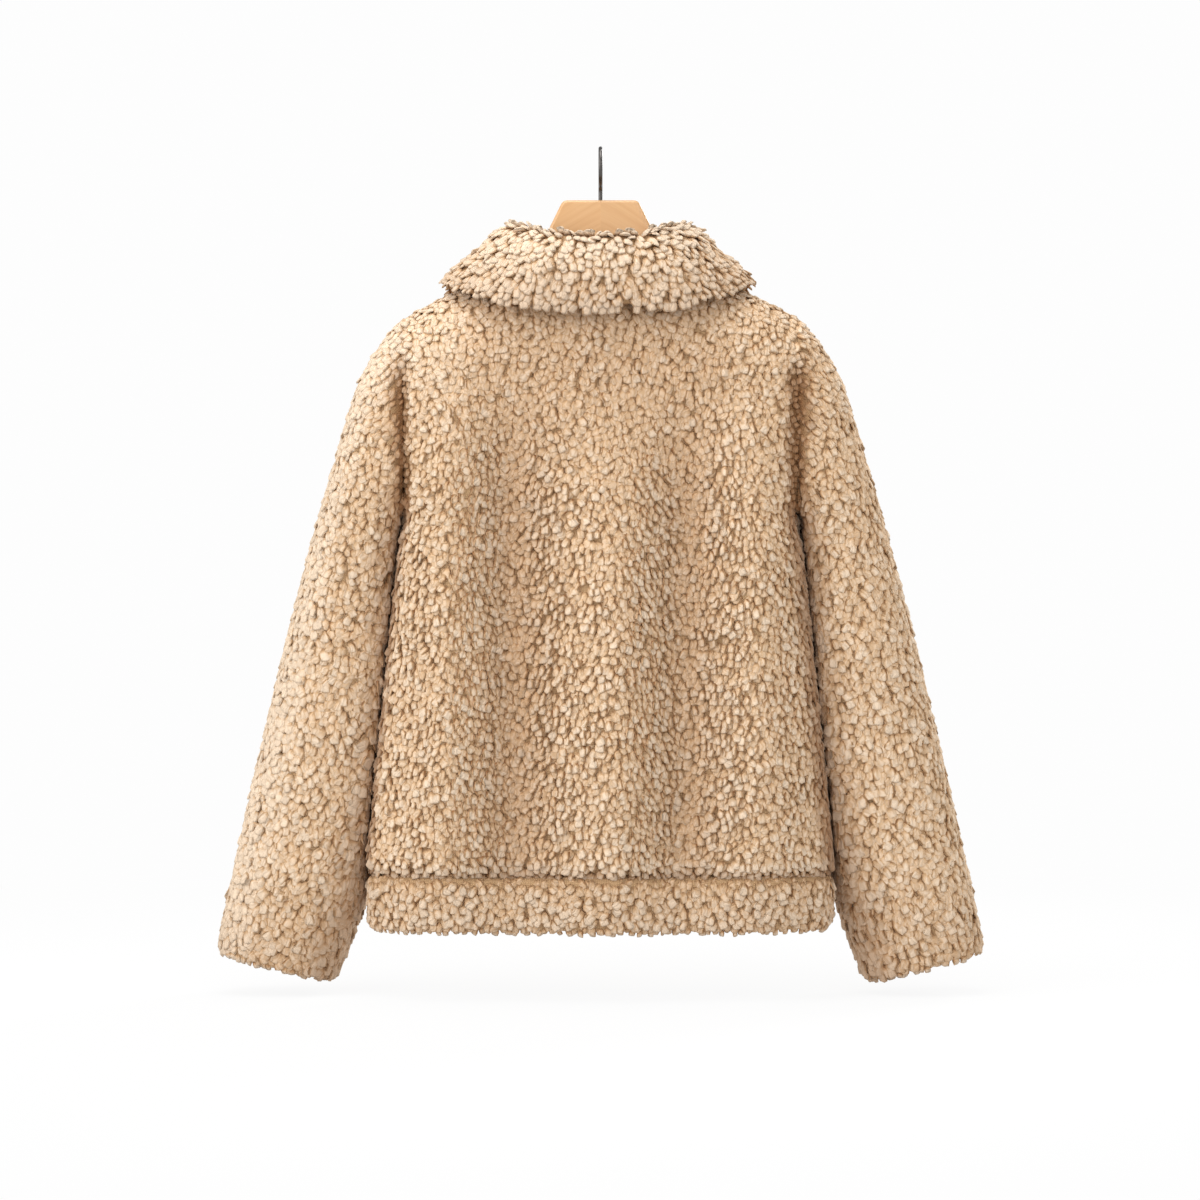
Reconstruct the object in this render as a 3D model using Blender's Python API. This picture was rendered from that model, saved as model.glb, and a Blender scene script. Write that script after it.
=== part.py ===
"""A short teddy fleece jacket, zipped up and hanging on a wooden hanger with a wire hook.

Metres, +Z up. The jacket's front faces -Y and its back +Y, and the wearer's left is +X. The origin is the
inside top of the hook, where a rail carries the hanger. Every piece that a maker cuts and sews on is a solid.
A cloth wall is as thick as its knitted backing and its pile together: its outer face is where the pile ends.
"""

import math

import bmesh
import bpy
import numpy as np

# Cloth
BACKING = 0.003
PILE = 0.008
WALL = BACKING + PILE
COLLAR_WALL = 0.014
SEAM_GAP = 0.0004
EDGE_ROUNDING = 0.004

# Heights and half-widths of the cut
HEM_Z = -0.779
BAND_SEAM_Z = -0.719
UNDERARM_Z = -0.365
ARMHOLE_X = 0.195
NECK_X = 0.078
ZIP_HALF_GAP = 0.006
SHOULDER_ROUND = 0.090
# Between these heights the body's columns turn from the side seam's line to the armhole's.
ARMHOLE_START_Z = -0.420
ARMHOLE_END_Z = -0.270
NECK_EDGE_WALL = 1.1 * WALL
SECTION_POWER = 3.0
SECTION_DEPTH_TO_WIDTH = 0.28
SLEEVE_POWER = 2.3
BACK, FRONT = 1, -1

# How finely the pieces are divided
NECK_CELLS = 6
SHOULDER_CELLS = 7
ROWS_BELOW_ARM = 9
ROWS_ABOVE_ARM = 12
ROW_SPACING_POWER = 1.15
SLEEVE_RINGS = 18
RING_SPACING_POWER = 1.1
SLEEVE_SIDES = 24
ZIP_ROWS = 12

# Zip
TAPE_WIDTH = (0.0032, 0.022)
TAPE_DEPTH = (WALL + 0.0007, WALL + 0.0017)
CHAIN_HALF_WIDTH = 0.0028
CHAIN_DEPTH = (WALL - 0.0005, WALL + 0.0019)
ZIP_TOP_Z = -0.192
ZIP_BOTTOM_Z = HEM_Z + 0.0025
SLIDER_Z = -0.203
SLIDER_SIZE = (0.0095, 0.0032, 0.014)
ARCH_WIDTH = 0.002
ARCH_HALF_SPAN = 0.004
ARCH_BAR = 0.0012
PULL_SIZE = (0.007, 0.0015, 0.030)
PULL_EYE = (0.0032, 0.005)
PULL_BAR = 0.0015
AXIS_OFF_SLIDER = 0.0013
ARCH_OFF_AXIS = 0.0015

# Hanger and hook
HANGER_THICKNESS = 0.013
HANGER_TOP_Z = -0.050
HANGER_CLEARANCE = 0.0008
HANGER_ROUNDING = 0.0045
HANGER_ARM_STATIONS = 7
HANGER_ARM_X = (0.095, 0.183)
HANGER_TIP_X = 0.187
HANGER_TIP_DROP = 0.006
WIRE_RADIUS = 0.002
HOOK_RADIUS = 0.019
SHANK_TOP_Z = -0.043
SHANK_BOTTOM_Z = -0.078
BORE_RADIUS = 0.0025
BORE_SIDES = 12
HOOK_END_ANGLE = math.radians(205)
BEND_POINTS = 7
HOOK_POINTS = 29


class Table:
    """Rows of numbers under named columns, read between its rows by a curve that never overshoots them."""

    def __init__(self, names, *rows):
        ordered = np.array(sorted(rows))
        self.columns = dict(zip(names, ordered.T))
        self.key = ordered[:, 0]

    def read(self, name, at):
        values = self.columns[name]
        steps = np.diff(self.key)
        slopes = np.diff(values) / steps
        product = slopes[:-1] * slopes[1:]
        total = np.where(product > 0, slopes[:-1] + slopes[1:], 1.0)
        inner = np.where(product > 0, 2 * product / total, 0.0)
        tangents = np.concatenate([slopes[:1], inner, slopes[-1:]])
        at = np.clip(at, self.key[0], self.key[-1])
        cell = np.clip(np.searchsorted(self.key, at, side="right") - 1, 0, len(steps) - 1)
        t = (at - self.key[cell]) / steps[cell]
        return (
            values[cell] * (1 + 2 * t) * (1 - t) ** 2
            + values[cell + 1] * t * t * (3 - 2 * t)
            + tangents[cell] * steps[cell] * t * (1 - t) ** 2
            + tangents[cell + 1] * steps[cell] * t * t * (t - 1)
        )


# Sections of the body are flattened ovals: the higher the power, the squarer their sides. Above the underarm
# the width is that of a section which the armhole's plane cuts off.
BODY = Table(
    ("z", "half_width", "back_depth", "front_depth", "power"),
    (-0.779, 0.2310, 0.063, 0.061, 2.6),
    (-0.719, 0.2330, 0.064, 0.062, 2.6),
    (-0.650, 0.2270, 0.064, 0.061, 2.7),
    (-0.550, 0.2170, 0.062, 0.059, 2.9),
    (-0.450, 0.2065, 0.060, 0.057, 3.3),
    (-0.400, 0.2005, 0.059, 0.056, 3.6),
    (-0.365, 0.1950, 0.058, 0.055, 4.0),
    (-0.350, 0.1985, 0.058, 0.055, 4.0),
    (-0.330, 0.2030, 0.058, 0.055, 4.0),
    (-0.300, 0.2090, 0.057, 0.054, 4.0),
    (-0.250, 0.2190, 0.057, 0.054, 3.6),
    (-0.200, 0.2300, 0.056, 0.054, 3.2),
    (-0.100, 0.2400, 0.055, 0.053, 2.8),
)
SHOULDER = Table(
    ("x", "z"),
    (0.000, -0.1000),
    (0.078, -0.1140),
    (0.120, -0.1310),
    (0.157, -0.1445),
    (0.195, -0.1645),
)
BACK_NECK = Table(("x", "z"), (0.0, -0.1280), (0.04, -0.1245), (0.065, -0.1185), (NECK_X, -0.1140))
FRONT_NECK = Table(
    ("x", "z"),
    (ZIP_HALF_GAP, -0.187),
    (0.030, -0.178),
    (0.055, -0.155),
    (0.070, -0.133),
    (NECK_X, -0.114),
)
# Long soft folds that hang from the shoulders: a ridge has a height above 0, a trough one below it.
FOLDS = {
    BACK: Table(
        ("x_shoulder", "x_hem", "height", "half_width", "start_z"),
        (0.150, 0.160, 0.006, 0.034, -0.200),
        (0.085, 0.080, -0.009, 0.036, -0.210),
        (-0.015, -0.020, 0.007, 0.034, -0.300),
        (-0.085, -0.085, -0.008, 0.036, -0.210),
        (-0.155, -0.168, 0.005, 0.032, -0.200),
    ),
    FRONT: Table(
        ("x_shoulder", "x_hem", "height", "half_width", "start_z"),
        (0.125, 0.145, 0.006, 0.034, -0.210),
        (0.070, 0.080, -0.006, 0.032, -0.230),
        (-0.072, -0.075, -0.006, 0.034, -0.230),
        (-0.125, -0.140, 0.006, 0.036, -0.210),
    ),
}
FOLD_TOP_Z = -0.250
FOLD_FADE = 0.150
BAND_CALM = 0.35
BAND_CALM_START_Z = -0.640
BAND_PROFILE = Table(
    ("z", "outer", "inner"),
    (BAND_SEAM_Z - SEAM_GAP, -0.0040, -WALL),
    (-0.7240, 0.0005, -WALL),
    (-0.7350, 0.0018, -WALL),
    (-0.7530, 0.0018, -WALL),
    (-0.7660, 0.0012, -WALL),
    (-0.7740, -0.0005, -WALL),
    (HEM_Z, -0.0045, -0.0075),
)
# The sleeve's sections run down the arm; each lies between an outer and an inner point in the XZ plane.
SLEEVE = Table(
    ("step", "outer_x", "outer_z", "inner_x", "inner_z", "centre_y", "half_depth"),
    (0.0, 0.1954, -0.1645, 0.1954, -0.365, 0.000, 0.042),
    (0.5, 0.2125, -0.1775, 0.1960, -0.369, -0.002, 0.043),
    (1.0, 0.2335, -0.2080, 0.1960, -0.373, -0.004, 0.044),
    (2.0, 0.2495, -0.2490, 0.1965, -0.380, -0.008, 0.046),
    (3.0, 0.2650, -0.2990, 0.1970, -0.392, -0.013, 0.048),
    (4.0, 0.2800, -0.3490, 0.1975, -0.412, -0.018, 0.049),
    (5.0, 0.2940, -0.3990, 0.1980, -0.445, -0.023, 0.051),
    (6.0, 0.3075, -0.4490, 0.1990, -0.490, -0.027, 0.052),
    (7.0, 0.3325, -0.5500, 0.2050, -0.590, -0.032, 0.053),
    (8.0, 0.3560, -0.6510, 0.2200, -0.690, -0.034, 0.052),
    (9.0, 0.3785, -0.7520, 0.2490, -0.785, -0.035, 0.050),
    (10.0, 0.3880, -0.7990, 0.2660, -0.829, -0.035, 0.048),
)
ARMHOLE_BLEND = 1.5
SLEEVE_CLEARANCE = 0.0035
# The cuff's rounded rim: how far down the arm, and how far in the outer and the inner face have come.
CUFF_RIM = ((0.005, 0.0015, 0.0), (0.009, 0.0050, 0.0015))
# The collar's centre line: the fold at its top, the middle of its fall and the fall's edge. Around the neck,
# 0 is the back's middle, 1 the shoulder seam and 2 the zip.
COLLAR = Table(
    (
        *("around", "fold_x", "fold_y", "fold_z"),
        *("fall_x", "fall_y", "fall_z", "edge_x", "edge_y", "edge_z"),
    ),
    (0.00, 0.0000, 0.0475, -0.093, 0.0000, 0.0650, -0.125, 0.0000, 0.0680, -0.160),
    (0.50, 0.0450, 0.0400, -0.089, 0.0620, 0.0590, -0.119, 0.0780, 0.0635, -0.156),
    (0.85, 0.0740, 0.0180, -0.080, 0.0980, 0.0330, -0.106, 0.1280, 0.0400, -0.144),
    (1.00, 0.0855, 0.0000, -0.078, 0.1125, 0.0030, -0.100, 0.1520, 0.0040, -0.130),
    (1.25, 0.0820, -0.0220, -0.084, 0.1160, -0.0360, -0.113, 0.1430, -0.0420, -0.152),
    (1.60, 0.0550, -0.0520, -0.115, 0.0850, -0.0650, -0.152, 0.1100, -0.0640, -0.208),
    (2.00, 0.0130, -0.0680, -0.160, 0.0350, -0.0730, -0.198, 0.0600, -0.0655, -0.254),
)
COLLAR_FOLD_RADIUS = 0.0095
COLLAR_STAND_LEAN = 0.75 * COLLAR_FOLD_RADIUS
COLLAR_FALL_SWELL = 0.45 * COLLAR_FOLD_RADIUS
COLLAR_SHIFT = 0.0025
COLLAR_EDGE_HALF = 0.4 * COLLAR_WALL / 2
HANGER_BLOCK = Table(
    ("x", "z"),
    (0.0000, HANGER_TOP_Z),
    (0.0375, HANGER_TOP_Z),
    (0.0505, -0.0765),
    (0.0560, -0.1000),
    (0.0600, -0.1200),
    (0.0650, -0.1290),
    (0.0800, -0.1335),
)
HANGER_UNDERSIDE = Table(("x", "z"), (0.0, -0.150), (0.05, -0.155), (0.12, -0.172), (0.185, -0.197))


def unit(vectors):
    return vectors / np.maximum(np.linalg.norm(vectors, axis=-1, keepdims=True), 1e-12)


def ease(t):
    t = np.clip(t, 0.0, 1.0)
    return t * t * (3 - 2 * t)


def mirrored(points):
    return points * np.array([-1.0, 1.0, 1.0])


def material(name, colour, roughness, metallic=0.0):
    made = bpy.data.materials.new(name)
    made.use_nodes = True
    surface = made.node_tree.nodes["Principled BSDF"]
    surface.inputs["Base Color"].default_value = (*colour, 1.0)
    surface.inputs["Roughness"].default_value = roughness
    surface.inputs["Metallic"].default_value = metallic
    return made


def add_object(name, mesh_or_curve, finish):
    made = bpy.data.objects.new(name, mesh_or_curve)
    mesh_or_curve.materials.append(finish)
    bpy.context.scene.collection.objects.link(made)
    return made


def solid(name, points, faces, finish):
    """One closed solid from points and faces, with its faces turned outwards."""
    mesh = bpy.data.meshes.new(name)
    mesh.from_pydata([tuple(point) for point in points], [], faces)
    shape = bmesh.new()
    shape.from_mesh(mesh)
    bmesh.ops.recalc_face_normals(shape, faces=shape.faces)
    shape.to_mesh(mesh)
    shape.free()
    mesh.shade_smooth()
    mesh.set_sharp_from_angle(angle=math.radians(50))
    return add_object(name, mesh, finish)


def wall(name, outer, inner, finish, tube=False):
    """The closed wall between two grids of points of one shape; a tube's last column meets its first."""
    rows, columns = outer.shape[:2]
    spans = columns if tube else columns - 1

    def at(layer, row, column):
        return (layer * rows + row) * columns + column % columns

    faces = []
    for layer in (0, 1):
        for row in range(rows - 1):
            for column in range(spans):
                corners = ((row, column), (row, column + 1), (row + 1, column + 1), (row + 1, column))
                faces.append([at(layer, *corner) for corner in corners])
    rim = [((row, column), (row, column + 1)) for row in (0, rows - 1) for column in range(spans)]
    if not tube:
        rim += [((row, column), (row + 1, column)) for column in (0, columns - 1) for row in range(rows - 1)]
    points = np.concatenate([outer.reshape(-1, 3), inner.reshape(-1, 3)])
    # The rims along a seam are not quite flat, so each is split along its shorter diagonal to match the next.
    for start, end in rim:
        a, b, c, d = at(0, *start), at(0, *end), at(1, *end), at(1, *start)
        if np.linalg.norm(points[a] - points[c]) < np.linalg.norm(points[b] - points[d]):
            faces += [[a, b, c], [a, c, d]]
        else:
            faces += [[a, b, d], [b, c, d]]
    return solid(name, points, faces, finish)


def box(name, centre, size, finish):
    mesh = bpy.data.meshes.new(name)
    shape = bmesh.new()
    bmesh.ops.create_cube(shape, size=1.0)
    bmesh.ops.scale(shape, vec=size, verts=shape.verts)
    shape.to_mesh(mesh)
    shape.free()
    made = add_object(name, mesh, finish)
    made.location = centre
    return made


def combine(target, tool, operation):
    """Cut or join target with tool, which stays as a hidden guide."""
    change = target.modifiers.new(operation.title(), "BOOLEAN")
    change.operation = operation
    change.object = tool
    tool.hide_render = True
    tool.display_type = "WIRE"


# The jacket's body


def section_fractions(spacing):
    """Places across a body section, as fractions of its half-width, evenly spaced along the cloth."""
    angle = np.linspace(0, math.pi / 2, 400)
    across = np.sin(angle) ** (2 / SECTION_POWER)
    along = np.cos(angle) ** (2 / SECTION_POWER) * SECTION_DEPTH_TO_WIDTH
    lengths = np.concatenate([[0], np.cumsum(np.hypot(np.diff(across), np.diff(along)))])
    return np.interp(spacing * lengths[-1], lengths, across)


def fold_height(side, x, z):
    columns = FOLDS[side].columns
    total = np.zeros_like(x)
    for x_shoulder, x_hem, height, half_width, start_z in zip(*columns.values()):
        down = (FOLD_TOP_Z - z) / (FOLD_TOP_Z - BAND_SEAM_Z)
        centre = x_shoulder + (x_hem - x_shoulder) * down
        total += height * np.exp(-(((x - centre) / half_width) ** 2)) * ease((start_z - z) / FOLD_FADE)
    return total * (1 - BAND_CALM * ease((BAND_CALM_START_Z - z) / (BAND_CALM_START_Z - HEM_Z)))


def body_y(side, x, z):
    """Where the outer face of the body lies, for places across it and heights."""
    across = np.clip(np.abs(x) / BODY.read("half_width", z), 0, 1)
    power = BODY.read("power", z)
    ring = (1 - across**power) ** (1 / power)
    over = np.clip((z - SHOULDER.read("z", np.abs(x))) / SHOULDER_ROUND + 1, 0, 1)
    crown = np.sqrt(1 - over**2)
    depth = BODY.read("back_depth" if side == BACK else "front_depth", z)
    return side * (depth + fold_height(side, x, z)) * ring * crown


def cloth_normals(points):
    """Unit normals of a grid of points, from its neighbours along rows and columns."""
    return unit(np.cross(np.gradient(points, axis=1), np.gradient(points, axis=0)))


def half_panel(side, sign):
    """Outer and inner faces of half a back or a front, from the middle to the side: sign is 1 at the left."""
    cells = NECK_CELLS + SHOULDER_CELLS
    spacing = np.linspace(0, 1, cells + 1)
    low = section_fractions(spacing)
    neck_at = NECK_CELLS / cells
    top = np.interp(spacing, [0, neck_at, 1], [0, NECK_X / ARMHOLE_X, 1])
    middle_x = ZIP_HALF_GAP if side == FRONT else 0.0
    top_x = np.maximum(top * ARMHOLE_X, middle_x)
    neck = BACK_NECK if side == BACK else FRONT_NECK
    end_z = np.where(top_x <= NECK_X, neck.read("z", top_x), SHOULDER.read("z", top_x))

    # Rows are even up to the underarm, then even along the cloth as it rounds over the shoulder.
    round_start = SHOULDER.read("z", top_x) - SHOULDER_ROUND
    start_angle = (UNDERARM_Z - round_start) / SHOULDER_ROUND
    end_angle = np.arcsin(np.clip((end_z - round_start) / SHOULDER_ROUND, -1, 1))
    climb = np.linspace(0, 1, ROWS_ABOVE_ARM + 1)[1:, None] ** ROW_SPACING_POWER
    angle = start_angle + (end_angle - start_angle) * climb
    above = round_start + SHOULDER_ROUND * np.where(angle > 0, np.sin(angle), angle)
    below = np.linspace(BAND_SEAM_Z, UNDERARM_Z, ROWS_BELOW_ARM + 1)[:, None] + np.zeros(cells + 1)
    z = np.concatenate([below, above])

    edge_x = np.where(z <= UNDERARM_Z, BODY.read("half_width", z), ARMHOLE_X)
    blend = ease((z - ARMHOLE_START_Z) / (ARMHOLE_END_Z - ARMHOLE_START_Z))
    x = np.maximum(edge_x * (low + (top - low) * blend), middle_x)
    y = body_y(side, x * sign, z)
    outer = np.stack([x, y, z], axis=-1)

    normals = cloth_normals(outer)
    normals *= np.sign(normals[2, 2, 1]) * side
    normals[0, :, 2] = 0
    normals[:, 0, 0] = 0
    normals[: ROWS_BELOW_ARM + 1, -1, 1] = 0
    normals[-1, NECK_CELLS:, 1] = 0
    edge_run = np.gradient(outer[ROWS_BELOW_ARM:, -1], axis=0)
    armhole = np.stack([np.zeros(len(edge_run)), side * edge_run[:, 2], -side * edge_run[:, 1]], axis=-1)
    armhole[0] = (0, 0, -1)
    armhole[-1] = (0, 0, 1)
    normals[ROWS_BELOW_ARM:, -1] = armhole
    normals = unit(normals)
    # The neck's edge is cut half-way between the cloth's direction and the collar's stand.
    neck_run = np.gradient(outer[-1, : NECK_CELLS + 1], axis=0)
    level = np.zeros(NECK_CELLS + 1)
    outwards = unit(np.stack([-side * neck_run[:, 1], side * neck_run[:, 0], level], axis=-1))
    outwards[-1] = (1, 0, 0)
    outwards[0] = (0, side, 0)
    normals[-1, : NECK_CELLS + 1] = unit(normals[-1, : NECK_CELLS + 1] + outwards) * NECK_EDGE_WALL / WALL

    inner = outer - normals * WALL
    outer[0] -= normals[0] * EDGE_ROUNDING
    if side == FRONT:
        outer[1:, 0] -= normals[1:, 0] * EDGE_ROUNDING
    seam = np.array([0, side * SEAM_GAP / 2, 0])
    faces = [outer + seam, inner + seam]
    return faces if sign > 0 else [mirrored(face) for face in faces]


def joined_at_middle(left, right):
    """One grid from two halves, the right one running outwards from the middle too."""
    return np.concatenate([left[:, ::-1], right[:, 1:]], axis=1)


def make_back(finish):
    halves = zip(half_panel(BACK, 1), half_panel(BACK, -1))
    outer, inner = [joined_at_middle(left, right) for left, right in halves]
    wall("back", outer, inner, finish)


def make_front(name, sign, finish):
    outer, inner = half_panel(FRONT, sign)
    wall(name, outer, inner, finish)


# The sleeves


def sleeve_section(step, turn):
    """One section's outer points, from its outermost point round by the back and then the front."""
    row = {name: SLEEVE.read(name, step) for name in SLEEVE.columns}
    along = np.sign(np.cos(turn)) * np.abs(np.cos(turn)) ** (2 / SLEEVE_POWER)
    through = np.sign(np.sin(turn)) * np.abs(np.sin(turn)) ** (2 / SLEEVE_POWER)
    x = (row["outer_x"] + row["inner_x"]) / 2 + along * (row["outer_x"] - row["inner_x"]) / 2
    z = (row["outer_z"] + row["inner_z"]) / 2 + along * (row["outer_z"] - row["inner_z"]) / 2
    y = row["centre_y"] + through * row["half_depth"]
    return np.stack([x, y, z], axis=-1)


def armhole_section(sign, turn):
    """The armhole's own outline, which the sleeve starts from."""
    top_z = SHOULDER.read("z", ARMHOLE_X)
    z = (top_z + UNDERARM_Z) / 2 + np.cos(turn) * (top_z - UNDERARM_Z) / 2
    x = np.full_like(z, ARMHOLE_X)
    y = np.where(np.sin(turn) > 0, body_y(BACK, x * sign, z), body_y(FRONT, x * sign, z))
    return np.stack([x + SEAM_GAP, y, z], axis=-1)


def clear_of_body(points):
    """Points moved outwards to where the body's side, or the armhole's plane, leaves room."""
    x, y, z = points[..., 0], points[..., 1], points[..., 2]
    depth = BODY.read("back_depth", z)
    power = BODY.read("power", z)
    side_x = BODY.read("half_width", z) * (1 - np.clip(np.abs(y) / depth, 0, 1) ** power) ** (1 / power)
    least = np.where(z < UNDERARM_Z, np.maximum(side_x + SLEEVE_CLEARANCE, 0), ARMHOLE_X + SEAM_GAP)
    return np.stack([np.maximum(x, least), y, z], axis=-1)


def ring_inwards(points):
    """Unit directions into each ring of a tube, square to the ring's own run and to the tube's."""
    round_run = np.roll(points, -1, axis=1) - np.roll(points, 1, axis=1)
    down_run = np.gradient(points, axis=0)
    inwards = unit(np.cross(round_run, down_run))
    centre = points.mean(axis=1, keepdims=True)
    facing = np.sign(np.sum(inwards * (centre - points), axis=-1, keepdims=True))
    return inwards * np.where(facing == 0, 1, facing)


def make_sleeve(name, sign, finish):
    turn = np.linspace(0, 2 * math.pi, SLEEVE_SIDES, endpoint=False)
    last = SLEEVE.key[-1]
    steps = last * np.linspace(0, 1, SLEEVE_RINGS) ** RING_SPACING_POWER
    rings = []
    for step in steps:
        blend = ease(step / ARMHOLE_BLEND)
        rings.append(armhole_section(sign, turn) * (1 - blend) + sleeve_section(step, turn) * blend)
    outer = np.array(rings)
    outer[1:] = clear_of_body(outer[1:])
    inwards = ring_inwards(outer)
    inwards[0, :, 0] = 0
    inwards = unit(inwards)
    inner = outer + inwards * WALL
    inner[..., 0] = np.maximum(inner[..., 0], ARMHOLE_X + SEAM_GAP)
    down = unit(outer[-1].mean(axis=0) - outer[-2].mean(axis=0))
    outer_rim = [outer[-1] + inwards[-1] * in_outer + down * drop for drop, in_outer, in_inner in CUFF_RIM]
    inner_rim = [inner[-1] - inwards[-1] * in_inner + down * drop for drop, in_outer, in_inner in CUFF_RIM]
    outer, inner = np.concatenate([outer, outer_rim]), np.concatenate([inner, inner_rim])
    if sign < 0:
        outer, inner = mirrored(outer), mirrored(inner)
    wall(name, outer, inner, finish, tube=True)


# The collar


def collar_base():
    """The neck seam from the left front round the back to the right front, on the outer and the neck side."""
    edges = []
    for face in (0, 1):
        left_front, right_front = (half_panel(FRONT, sign)[face][-1, : NECK_CELLS + 1] for sign in (1, -1))
        left_back, right_back = (half_panel(BACK, sign)[face][-1, : NECK_CELLS + 1] for sign in (1, -1))
        left_back[-1, 1] = right_back[-1, 1] = 0
        path = [left_front[:-1], left_back[::-1], right_back[1:], right_front[-2::-1]]
        edges.append(np.concatenate(path))
    outer, inner = edges
    rise = unit(np.cross(np.gradient(outer, axis=0), inner - outer))
    rise *= np.sign(rise[:, 2:])
    return outer + rise * SEAM_GAP, inner + rise * SEAM_GAP


def make_collar(finish):
    outer_base, inner_base = collar_base()
    count = len(outer_base)
    around = np.linspace(-2, 2, count)
    side = np.where(around < 0, 1.0, -1.0)

    def place(name):
        x, y, z = (COLLAR.read(f"{name}_{axis}", np.abs(around)) for axis in "xyz")
        return np.stack([x * side + COLLAR_SHIFT * ease(2 - np.abs(around)), y, z], axis=-1)

    fold, fall, edge = place("fold"), place("fall"), place("edge")
    base = (outer_base + inner_base) / 2
    out = unit((fall - fold) * np.array([1, 1, 0]))
    up = np.array([0, 0, 1])
    radius = COLLAR_FOLD_RADIUS
    stand = (base + fold) / 2 - out * COLLAR_STAND_LEAN
    tilt = math.sin(math.pi / 4)
    before = fold - out * radius * tilt - up * radius * (1 - tilt)
    after = fold + out * radius * tilt - up * radius * (1 - tilt)
    shoulder = fold * 0.45 + fall * 0.55 + out * COLLAR_FALL_SWELL
    line = np.stack([base, stand, before, fold, after, shoulder, fall, (fall + edge) / 2, edge])
    across = np.gradient(line, axis=0)
    around_run = np.gradient(line, axis=1)
    normals = unit(np.cross(around_run, across))
    normals *= np.sign(normals[3, count // 2, 2])
    half = COLLAR_WALL / 2
    show, hidden = line + normals * half, line - normals * half
    show[0], hidden[0] = inner_base, outer_base
    tip = unit(edge - fall) * EDGE_ROUNDING
    show = np.concatenate([show, [edge + tip + normals[-1] * COLLAR_EDGE_HALF]])
    hidden = np.concatenate([hidden, [edge + tip - normals[-1] * COLLAR_EDGE_HALF]])
    wall("collar", show, hidden, finish)


# The waist band


def make_hem_band(finish):
    levels = BAND_PROFILE.key[:, None]
    spacing = section_fractions(np.linspace(0, 1, NECK_CELLS + SHOULDER_CELLS + 1))
    halves = []
    for sign in (1, -1):
        runs = []
        for side in (FRONT, BACK):
            x = BODY.read("half_width", levels) * spacing
            x = np.maximum(x, ZIP_HALF_GAP) if side == FRONT else x
            y = body_y(side, x * sign, levels + np.zeros_like(x))
            runs.append(np.stack([x * sign, y, levels + np.zeros_like(x)], axis=-1))
        front, back = runs
        halves.append(np.concatenate([front, back[:, -2::-1]], axis=1))
    left, right = halves
    path = np.concatenate([left, right[:, -2::-1]], axis=1)
    run = np.gradient(path, axis=1)
    outwards = np.stack([run[..., 1], -run[..., 0], np.zeros(run.shape[:2])], axis=-1)
    outwards *= np.sign(outwards[3, len(spacing) - 1, 0])
    outwards[:, (0, -1), 0] = 0
    outwards = unit(outwards)
    outer = path + outwards * BAND_PROFILE.columns["outer"][:, None, None]
    inner = path + outwards * BAND_PROFILE.columns["inner"][:, None, None]
    outer[:, (0, -1)] -= outwards[:, (0, -1)] * EDGE_ROUNDING
    wall("hem_band", outer, inner, finish)


# The zip


def zip_strip(name, x_range, depths, finish):
    """A strip that follows the fronts' middle, at two depths behind their outer face."""
    z = np.linspace(ZIP_BOTTOM_Z, ZIP_TOP_Z, ZIP_ROWS)[:, None] + np.zeros(2)
    x = np.zeros_like(z) + np.array(x_range)
    face = body_y(FRONT, x, z)
    outer, inner = (np.stack([x, face + depth, z], axis=-1) for depth in depths)
    wall(name, outer, inner, finish)


def slider_face_y():
    chain_front = float(body_y(FRONT, np.zeros(1), np.array([SLIDER_Z]))[0]) + CHAIN_DEPTH[0]
    return chain_front - SEAM_GAP - SLIDER_SIZE[1]


def make_slider(finish):
    face_y = slider_face_y()
    plate = box("zip_slider", (0, face_y + SLIDER_SIZE[1] / 2, SLIDER_Z), SLIDER_SIZE, finish)
    inside_y = face_y - AXIS_OFF_SLIDER - ARCH_OFF_AXIS
    front_y = inside_y - ARCH_BAR
    root_y = face_y + SLIDER_SIZE[1] / 2
    outside = ARCH_HALF_SPAN + ARCH_BAR / 2
    inside = ARCH_HALF_SPAN - ARCH_BAR / 2
    outline = [
        (root_y, outside),
        (front_y + ARCH_BAR, outside),
        (front_y, outside - ARCH_BAR),
        (front_y, -outside + ARCH_BAR),
        (front_y + ARCH_BAR, -outside),
        (root_y, -outside),
        (root_y, -inside),
        (inside_y, -inside),
        (inside_y, inside),
        (root_y, inside),
    ]
    half = ARCH_WIDTH / 2
    points = [(x, y, z + SLIDER_Z) for x in (-half, half) for y, z in outline]
    count = len(outline)
    faces = [list(range(count)), list(range(count, 2 * count))]
    for index in range(count):
        after = (index + 1) % count
        faces.append([index, after, count + after, count + index])
    combine(plate, solid("slider_arch", points, faces, finish), "UNION")


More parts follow.
